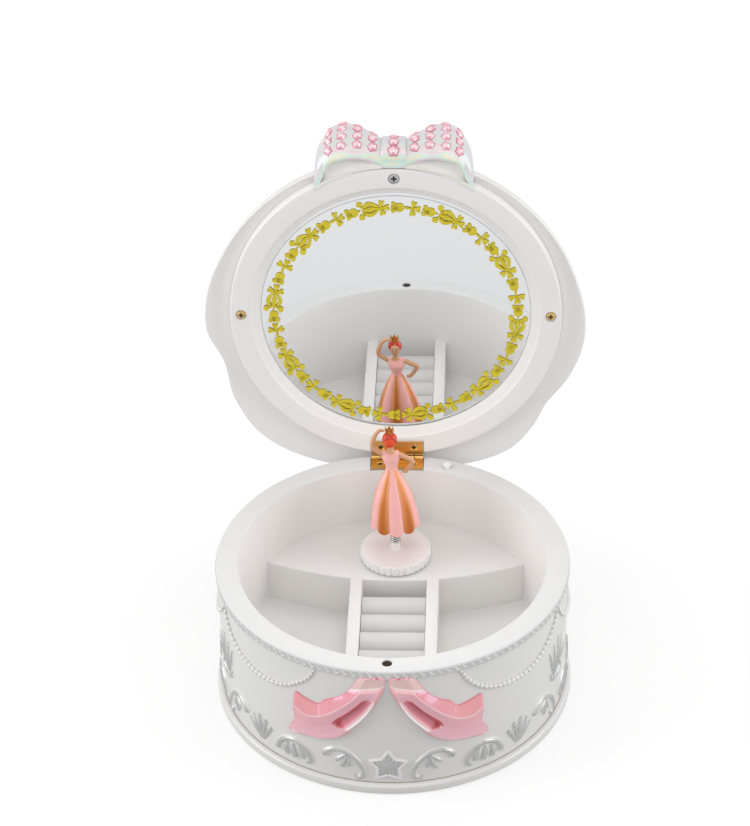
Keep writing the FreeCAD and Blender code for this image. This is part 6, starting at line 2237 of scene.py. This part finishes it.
class Paint(IntEnum):
    """The number of each paint on the figure, in the order of its finishes."""

    DRESS = 0
    SKIN = 1
    HAIR = 2
    CROWN = 3
    EYE = 4
    PUPIL = 5
    LIPS = 6


@dataclass
class Dancer:
    """The dancer: panelled skirt, bodice, arms, head, hair and crown. The face looks to +Y.

    The bodice and the shoulders are given by level, half width, half depth and how far forward they lie. A
    place on the figure is given across, forward of its axis and up, and a ball by its place and its radii.
    """

    middle: Pair = (0.0, 38.0)
    hem: float = 55.0
    waist: float = 84.2
    lean: Triple = (-0.044, 0.07, -0.05)
    lean_from: float = 55.0
    gores: int = 10
    gore_turn: float = 5.4
    pink_share: float = 0.5
    scallop: float = 1.6
    scallop_bow: float = 0.98
    crease_fade: float = 0.6
    # Painted sheen: the copper gores grow lighter towards the top and towards their edges.
    shine_up: float = 0.55
    shine_across: float = 0.85
    skirt: tuple[Pair, ...] = (
        (55.0, 11.2), (57.3, 10.9), (61.5, 10.3), (65.0, 9.7), (68.3, 8.9), (71.7, 7.8), (75.1, 6.5),
        (79.3, 4.8), (82.5, 3.1), (84.2, 2.35))
    raised_arm: tuple[Triple, ...] = (
        (-3.3, 0.0, 91.5), (-5.2, -0.2, 92.8), (-7.2, -0.2, 94.4), (-7.7, 0.0, 96.2), (-6.9, 0.1, 99.6),
        (-5.4, 0.2, 102.4), (-4.0, 0.3, 103.8), (-2.8, 0.3, 103.7))
    hip_arm: tuple[Triple, ...] = (
        (3.3, 0.0, 91.5), (5.8, -0.2, 90.2), (8.7, -0.3, 88.6), (9.3, -0.3, 87.6), (8.6, -0.2, 86.0),
        (7.2, 0.0, 83.8), (6.4, 0.1, 82.8))
    arm_sizes: tuple[float, ...] = (1.15, 1.15, 1.1, 1.08, 1.0, 0.9, 0.8, 0.6)
    arm_steps: int = 5
    hands: tuple[tuple[Triple, Triple], ...] = (
        ((-3.3, 0.3, 103.7), (1.2, 0.7, 0.8)), ((5.7, 0.1, 82.4), (1.45, 0.9, 1.0)))
    bodice: tuple[tuple[float, float, float, float], ...] = (
        (83.6, 2.4, 2.2, 0.0), (84.4, 2.28, 2.1, 0.0), (85.6, 2.6, 2.2, 0.05), (87.2, 3.2, 2.45, 0.15),
        (88.8, 3.7, 2.7, 0.3), (90.2, 3.95, 2.6, 0.25), (91.3, 3.9, 2.2, 0.1), (91.9, 3.75, 1.95, 0.0),
        (92.6, 3.4, 1.8, 0.0))
    shoulders: tuple[tuple[float, float, float, float], ...] = (
        (91.7, 3.6, 1.75, 0.0), (92.3, 3.1, 1.55, 0.0), (92.9, 2.0, 1.35, 0.0), (93.5, 1.35, 1.2, 0.0),
        (95.4, 1.2, 1.15, 0.1), (96.4, 1.25, 1.2, 0.2))
    neckline: float = 91.0
    neck_dip: float = 0.45
    bust: float = 0.55
    bust_fore: float = 0.3
    bust_parting: float = 0.35
    body_sides: int = 24
    belt: Triple = (2.3, 2.12, 84.3)
    belt_thick: float = 0.26
    button: tuple[Triple, Triple] = ((0.0, -2.25, 86.6), (0.55, 0.35, 0.5))
    skirt_rows: int = 26
    gore_steps: int = 20
    crease_deeps: Pair = (0.13, 0.09)
    copper_inset: float = 0.025
    under_hem: tuple[Pair, ...] = ((0.35, 6.0), (0.93, 0.4))
    head: tuple[Triple, Triple] = ((0.0, 0.35, 98.9), (2.55, 2.75, 3.45))
    hair: tuple[Triple, Triple] = ((0.0, -0.45, 99.7), (3.15, 2.95, 3.45))
    hair_rows: int = 14
    hair_nape: float = 0.25
    hair_wave: Triple = (0.03, 12.0, 2.0)
    # Painted shade and highlight in bands along the locks.
    hair_shine: tuple[float, float, float, float] = (0.55, 0.45, 6.0, 3.0)
    bun: Triple = (2.0, -3.2, 98.9)
    bun_steps: int = 36
    bun_turn: int = 15
    bun_shrink: int = 46
    bun_deep: float = 0.7
    bun_sizes: Triple = (0.44, 0.1, 0.9)
    eye: tuple[Triple, Triple] = ((0.98, 2.77, 99.1), (0.5, 0.22, 0.34))
    pupil: tuple[Triple, Triple] = ((0.96, 2.93, 99.08), (0.25, 0.15, 0.28))
    brow: tuple[Triple, ...] = ((0.45, 2.95, 99.85), (1.0, 2.85, 100.05), (1.55, 2.55, 99.8))
    brow_sizes: Triple = (0.1, 0.13, 0.08)
    nose: tuple[Triple, Triple] = ((0.0, 3.15, 98.3), (0.28, 0.3, 0.45))
    lips: tuple[tuple[Triple, Triple], ...] = (
        ((0.0, 2.87, 97.2), (0.62, 0.22, 0.2)), ((0.0, 2.85, 96.98), (0.45, 0.2, 0.16)))
    crown_points: int = 6
    crown_steps: int = 6
    crown_back: float = -0.3
    crown_rise: float = 1.7
    crown_section: tuple[Triple, ...] = ((1.5, 102.5, 0.0), (2.0, 103.6, 1.0), (1.7, 103.5, 1.0),
                                         (1.2, 102.5, 0.0))
    crown_bead: Triple = (1.87, 105.3, 0.3)

    def build(self) -> None:
        """Makes the skirt and the figure, and leans both a little on the spring."""
        paints = (Wear.DRESS, Wear.SKIN, Wear.HAIR, Wear.CROWN, Wear.FACE_LIGHT, Wear.FACE_DARK, Wear.LIPS)
        for form, name, wears, slot, node in (
                (self.skirt_form(), "skirt_gores", (Wear.DRESS, Wear.COPPER), "skirt_pink", "dancer_skirt"),
                (self.figure_form(), "dancer_painted", paints, "figure_paint", "dancer_figure")):
            form.change(self.leaned)
            settle(form.make(name, wears, crease=45.0), Body.DANCER, slot, node)

    def leaned(self, place: Vector) -> Vector:
        """A place on the upright figure, moved to where it is when the figure leans."""
        return place + Vector(self.lean) * (place.z - self.lean_from)

    def gore_at(self, turn: float) -> tuple[int, float]:
        """Finds the gore of the skirt at an angle.

        Args:
            turn: the angle in turns.

        Returns:
            0 for a pink gore and 1 for a copper one, and the way across it from -1 to 1.
        """
        pair = turn * self.gores / 2.0 + self.pink_share / 2.0
        along = pair - math.floor(pair)
        if along < self.pink_share:
            return 0, 2.0 * along / self.pink_share - 1.0
        return 1, 2.0 * (along - self.pink_share) / (1.0 - self.pink_share) - 1.0

    def skirt_form(self) -> Form:
        """The skirt: pink and copper gores that swell out between creases, with a scalloped hem.

        Returns:
            The form.
        """
        steps = self.gores * self.gore_steps
        turns = [(k + 0.5) / steps for k in range(steps)]
        gores = [self.gore_at(turn) for turn in turns]
        rows, shines = [], []
        for i in range(self.skirt_rows + 1):
            share = i / self.skirt_rows
            row, shine = [], []
            for turn, (copper, across) in zip(turns, gores):
                angle = FULL * turn + math.radians(self.gore_turn)
                foot = self.hem + self.scallop * (1.0 - math.sqrt(1.0 - self.scallop_bow * across * across))
                level = foot + (self.waist - foot) * share
                swell = math.sqrt(1.0 - across * across)
                depth = self.crease_deeps[copper] * (1.0 - share) ** self.crease_fade
                inset = self.copper_inset * copper
                radius = line_at(self.skirt, level) * (1.0 - depth + depth * swell - inset)
                row.append(about(self.middle, radius, angle, level))
                # Lighter towards the top and the gore edges: painted sheen.
                shine.append(min(1.0, self.shine_up * share + self.shine_across * abs(across)))
            rows.append(row)
            shines.append(shine)
        x0, y0 = self.middle
        under = [[(x0 + (x - x0) * shrink, y0 + (y - y0) * shrink, z + lift) for x, y, z in rows[0]]
                 for shrink, lift in self.under_hem]
        form = Form()
        form.sheet(under + rows, around=True, caps=True, sheens=[shines[0]] * 2 + shines,
                   tint_of=lambda i, k: gores[k][0])
        return form

    def figure_form(self) -> Form:
        """Bodice, neck, arms and head as one painted figure.

        Returns:
            The form.
        """
        form = Form()
        self.build_bodice(form)
        sizes = list(enumerate(self.arm_sizes))
        for path in (self.raised_arm, self.hip_arm):
            line = spline([self.on_axis(place) for place in path], self.arm_steps)
            radii = [line_at(sizes, i / self.arm_steps) for i in range(len(line))]
            form.tube(line, radii, tint=Paint.SKIN)
        for middle, radii in self.hands:
            form.ball(self.on_axis(middle), radii, Paint.SKIN, rings=8, sides=12)
        self.build_head(form)
        return form

    def on_axis(self, place: Place, side: float = 1.0) -> Triple:
        """A place given from the figure's axis, in the part's frame; a side of -1 mirrors it."""
        return self.middle[0] + side * place[0], self.middle[1] + place[1], place[2]

    def body_ring(self, level: float, wide: float, thick: float, fore: float, dressed: bool) -> list[Triple]:
        """One level of the body, fuller in front, its edge dipped at the dress's neckline.

        Args:
            level: its height.
            wide: its half width.
            thick: its half depth.
            fore: how far forward it lies.
            dressed: whether it belongs to the dress.

        Returns:
            The places round it.
        """
        ring = []
        for k in range(self.body_sides):
            angle = FULL * k / self.body_sides
            parting = 1.0 - self.bust_parting * abs(math.cos(2 * angle))
            bust = self.bust * fore / self.bust_fore * max(0.0, math.sin(angle)) ** 2 * parting
            dip = self.neck_dip * math.cos(angle * 2.0) if dressed and level > self.neckline else 0.0
            ring.append((self.middle[0] + wide * math.cos(angle),
                         self.middle[1] + fore + (thick + bust) * math.sin(angle), level + dip))
        return ring

    def build_bodice(self, form: Form) -> None:
        """The bodice up to its neckline, then shoulders and neck in skin paint.

        Args:
            form: the mesh it is added to.
        """
        for levels, paint in ((self.bodice, Paint.DRESS), (self.shoulders, Paint.SKIN)):
            rows = [self.body_ring(*level, paint == Paint.DRESS) for level in levels]
            form.sheet(rows, around=True, caps=True, tint=paint)
        wide, deep, level = self.belt
        turns = [FULL * k / self.body_sides for k in range(self.body_sides + 1)]
        belt = [self.on_axis((wide * math.cos(turn), deep * math.sin(turn), level)) for turn in turns]
        form.tube(belt, self.belt_thick, sides=6, tint=Paint.DRESS)
        middle, radii = self.button
        form.ball(self.on_axis(middle), radii, Paint.DRESS, rings=8, sides=12)

    def build_head(self, form: Form) -> None:
        """Head, hair, crown and a simple doll's face.

        Args:
            form: the mesh it is added to.
        """
        middle, radii = self.head
        form.ball(self.on_axis(middle), radii, Paint.SKIN, rings=14, sides=20)
        self.build_hair(form)
        self.build_crown(form)
        for side in (-1.0, 1.0):
            for (middle, radii), paint, sides in ((self.eye, Paint.EYE, 10), (self.pupil, Paint.PUPIL, 8)):
                form.ball(self.on_axis(middle, side), radii, paint, rings=6, sides=sides)
            brow = [self.on_axis(place, side) for place in self.brow]
            form.tube(brow, self.brow_sizes, sides=6, tint=Paint.PUPIL)
        middle, radii = self.nose
        form.ball(self.on_axis(middle), radii, Paint.SKIN, rings=6, sides=8)
        for middle, radii in self.lips:
            form.ball(self.on_axis(middle), radii, Paint.LIPS, rings=6, sides=10)

    def build_hair(self, form: Form) -> None:
        """A wavy cap of hair, lower at the back, and a bun coiled behind it.

        Args:
            form: the mesh it is added to.
        """
        (x, y, z), (wide, deep, tall) = self.hair
        rows, shines = [], []
        swing, waves, twist = self.hair_wave
        shine, contrast, locks, slant = self.hair_shine
        turns = [FULL * k / self.body_sides for k in range(self.body_sides)]
        for i in range(self.hair_rows + 1):
            lift = math.pi * i / self.hair_rows
            ring = []
            for turn in turns:
                low = 1.0 + self.hair_nape * max(0.0, -math.sin(turn)) if lift < math.pi / 2 else 1.0
                wave = math.sin(lift) * (1.0 + swing * math.cos(waves * turn + twist * lift))
                ring.append(self.on_axis((x + wide * wave * math.cos(turn), y + deep * wave * math.sin(turn),
                                          z - tall * low * math.cos(lift))))
            rows.append(ring)
            # The locks are banded lighter and darker: painted shade and highlight.
            shines.append([shine + contrast * math.cos(locks * turn + slant * lift) for turn in turns])
        form.sheet(rows, around=True, tint=Paint.HAIR, sheens=shines)
        size, back, level = self.bun
        thick, swell, beat = self.bun_sizes
        coil, sizes = [], []
        for k in range(self.bun_steps + 1):
            turn, reach = FULL * k / self.bun_turn, size * (1.0 - k / self.bun_shrink)
            coil.append(self.on_axis((reach * math.cos(turn), back - self.bun_deep * k / self.bun_steps,
                                      level + reach * math.sin(turn))))
            sizes.append(thick + swell * math.sin(beat * k))
        form.tube(coil, sizes, sides=8, tint=Paint.HAIR)

    def build_crown(self, form: Form) -> None:
        """A small open crown with a bead on each of its points.

        Args:
            form: the mesh it is added to.
        """
        points, steps = self.crown_points, self.crown_steps
        count = points * steps
        rows: list[list[Triple]] = [[] for _ in self.crown_section]
        for k in range(count):
            angle = FULL * k / count
            rise = 1.0 - abs(2.0 * (k % steps) / steps - 1.0)
            for row, (radius, level, share) in zip(rows, self.crown_section):
                row.append(self.on_axis((radius * math.cos(angle), self.crown_back + radius * math.sin(angle),
                                         level + self.crown_rise * share * rise)))
        form.sheet(rows, around=True, loop=True, tint=Paint.CROWN)
        reach, level, size = self.crown_bead
        for k in range(points):
            angle = FULL * (k + 0.5) / points
            place = (reach * math.cos(angle), self.crown_back + reach * math.sin(angle), level)
            form.ball(self.on_axis(place), (size, size, size), Paint.CROWN, rings=5, sides=8)


@dataclass(frozen=True)
class Lamp:
    """A square lamp; its place, its aim and its size are metres, and its spread degrees."""

    name: str
    place: Triple
    size: float
    power: float
    aim: Triple = (0.0, 0.0, 0.07)
    spread: float = 180.0
    mirrored: bool = True

    def build(self) -> bpy.types.Object:
        """Makes the lamp, which shines on its aim and isn't seen itself.

        Returns:
            The lamp.
        """
        data = bpy.data.lights.new(self.name, "AREA")
        data.energy = self.power
        data.size = self.size
        data.spread = math.radians(self.spread)
        made = shown(self.name, data)
        made.location = self.place
        made.rotation_euler = (Vector(self.aim) - Vector(self.place)).to_track_quat("-Z", "Y").to_euler()
        made.visible_camera = False
        made.visible_glossy = self.mirrored
        return made


@dataclass
class Studio:
    """Camera, soft lights, a pale floor and a white surround."""

    camera_place: Triple = (38.83, -945.92, 800.29)
    back: Triple = (0.03892, -0.81915, 0.57226)
    roll: float = -1.15
    lens: float = 123.0
    floor_half: float = 4.0
    floor_level: float = -0.0002
    surround: float = 0.71
    sensor: float = 36.0
    lamps: tuple[Lamp, ...] = (
        Lamp("lamp_left", (-1.25, -0.25, 0.55), 0.8, 7.6), Lamp("lamp_right", (1.25, -0.2, 0.5), 0.8, 6.3),
        Lamp("lamp_front", (0.1, -0.7, 1.2), 0.9, 1.4), Lamp("lamp_top", (0.0, 0.55, 1.6), 1.0, 0.6))
    bounce: Lamp = Lamp("lamp_bounce", (0.0, 0.066, 0.15), 0.09, 0.028, (0.0, -0.055, 0.03), 85.0, False)

    def build(self) -> None:
        """Sets up the whole studio."""
        self.build_camera()
        self.build_floor()
        self.build_lights()
        bpy.context.scene.view_settings.view_transform = "Standard"

    def build_camera(self) -> None:
        """The camera, at the angle of the photograph."""
        data = bpy.data.cameras.new("camera")
        data.lens = self.lens
        data.sensor_width = self.sensor
        camera = shown("camera", data)
        behind = Vector(self.back).normalized()
        right = Vector((0.0, 0.0, 1.0)).cross(behind).normalized()
        up = behind.cross(right)
        turn = math.radians(self.roll)
        axes = (right * math.cos(turn) + up * math.sin(turn), up * math.cos(turn) - right * math.sin(turn),
                behind)
        place = Matrix([[a[i] for a in axes] for i in range(3)]).to_4x4()
        place.translation = Vector(self.camera_place) * MM
        camera.matrix_world = place
        bpy.context.scene.camera = camera

    def build_floor(self) -> None:
        """A wide pale floor that keeps the object's shadow."""
        half, level = self.floor_half, self.floor_level
        mesh = bpy.data.meshes.new("floor")
        corners = [(-half, -half, level), (half, -half, level), (half, half, level), (-half, half, level)]
        mesh.from_pydata(corners, [], [range(4)])
        mesh.materials.append(Wear.FLOOR.value.make())
        floor = shown("floor", mesh)

    def build_lights(self) -> None:
        """Soft lamps, a small one on the lid for the mirror's light, and a world that looks white."""
        for lamp in self.lamps:
            lamp.build()
        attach(self.bounce.build(), Body.LID.value)
        world = bpy.data.worlds.new("studio")
        world.use_nodes = True
        bpy.context.scene.world = world
        start = Shade(world.node_tree)
        sky = world.node_tree.nodes["Background"]
        start.plug(sky.inputs["Color"], (1.0, 1.0, 1.0, 1.0))
        start.plug(sky.inputs["Strength"], seen(start) * (1.0 - self.surround) + self.surround)


def main() -> None:
    """Builds the whole scene in order."""
    logging.basicConfig(level=logging.INFO, format="%(message)s")
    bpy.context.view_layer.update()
    tools = Tools(bead_weaver(), bar_weaver(), spot_weaver())
    Fixings.dress(frame["nodes"])
    Studio().build()
    Case(tools).build()
    WallDress(tools).build()
    for name, side in (("left", -1.0), ("right", 1.0)):
        Ribbon(f"ribbon_{name}", f"ribbon_tail_{name}", side).build()
    Lid(tools).build()
    Bow(tools).build()
    Fixings(tools).build()
    Turntable().build()
    dancer_spring = Spring("dancer_spring", middle=(0.0, 38.0), radius=1.95, wire=0.4, low=44.4, high=58.5,
                           pitch=1.15, bend=(49.6, 55.4))
    dancer_spring.build(Wear.CHROME, Body.LINK, "spring_chrome", "spring_lower", "spring_upper")
    plunger_spring = Spring("plunger_spring_coil", middle=(22.2, 65.97), radius=1.97, wire=0.28, low=46.28,
                            high=59.62, pitch=1.7, bend=(46.5, 59.4))
    plunger_spring.build(Wear.STEEL, Body.PLUNGER, "movement_steel", "plunger_spring")
    Dancer().build()


if __name__ == "__main__":
    main()
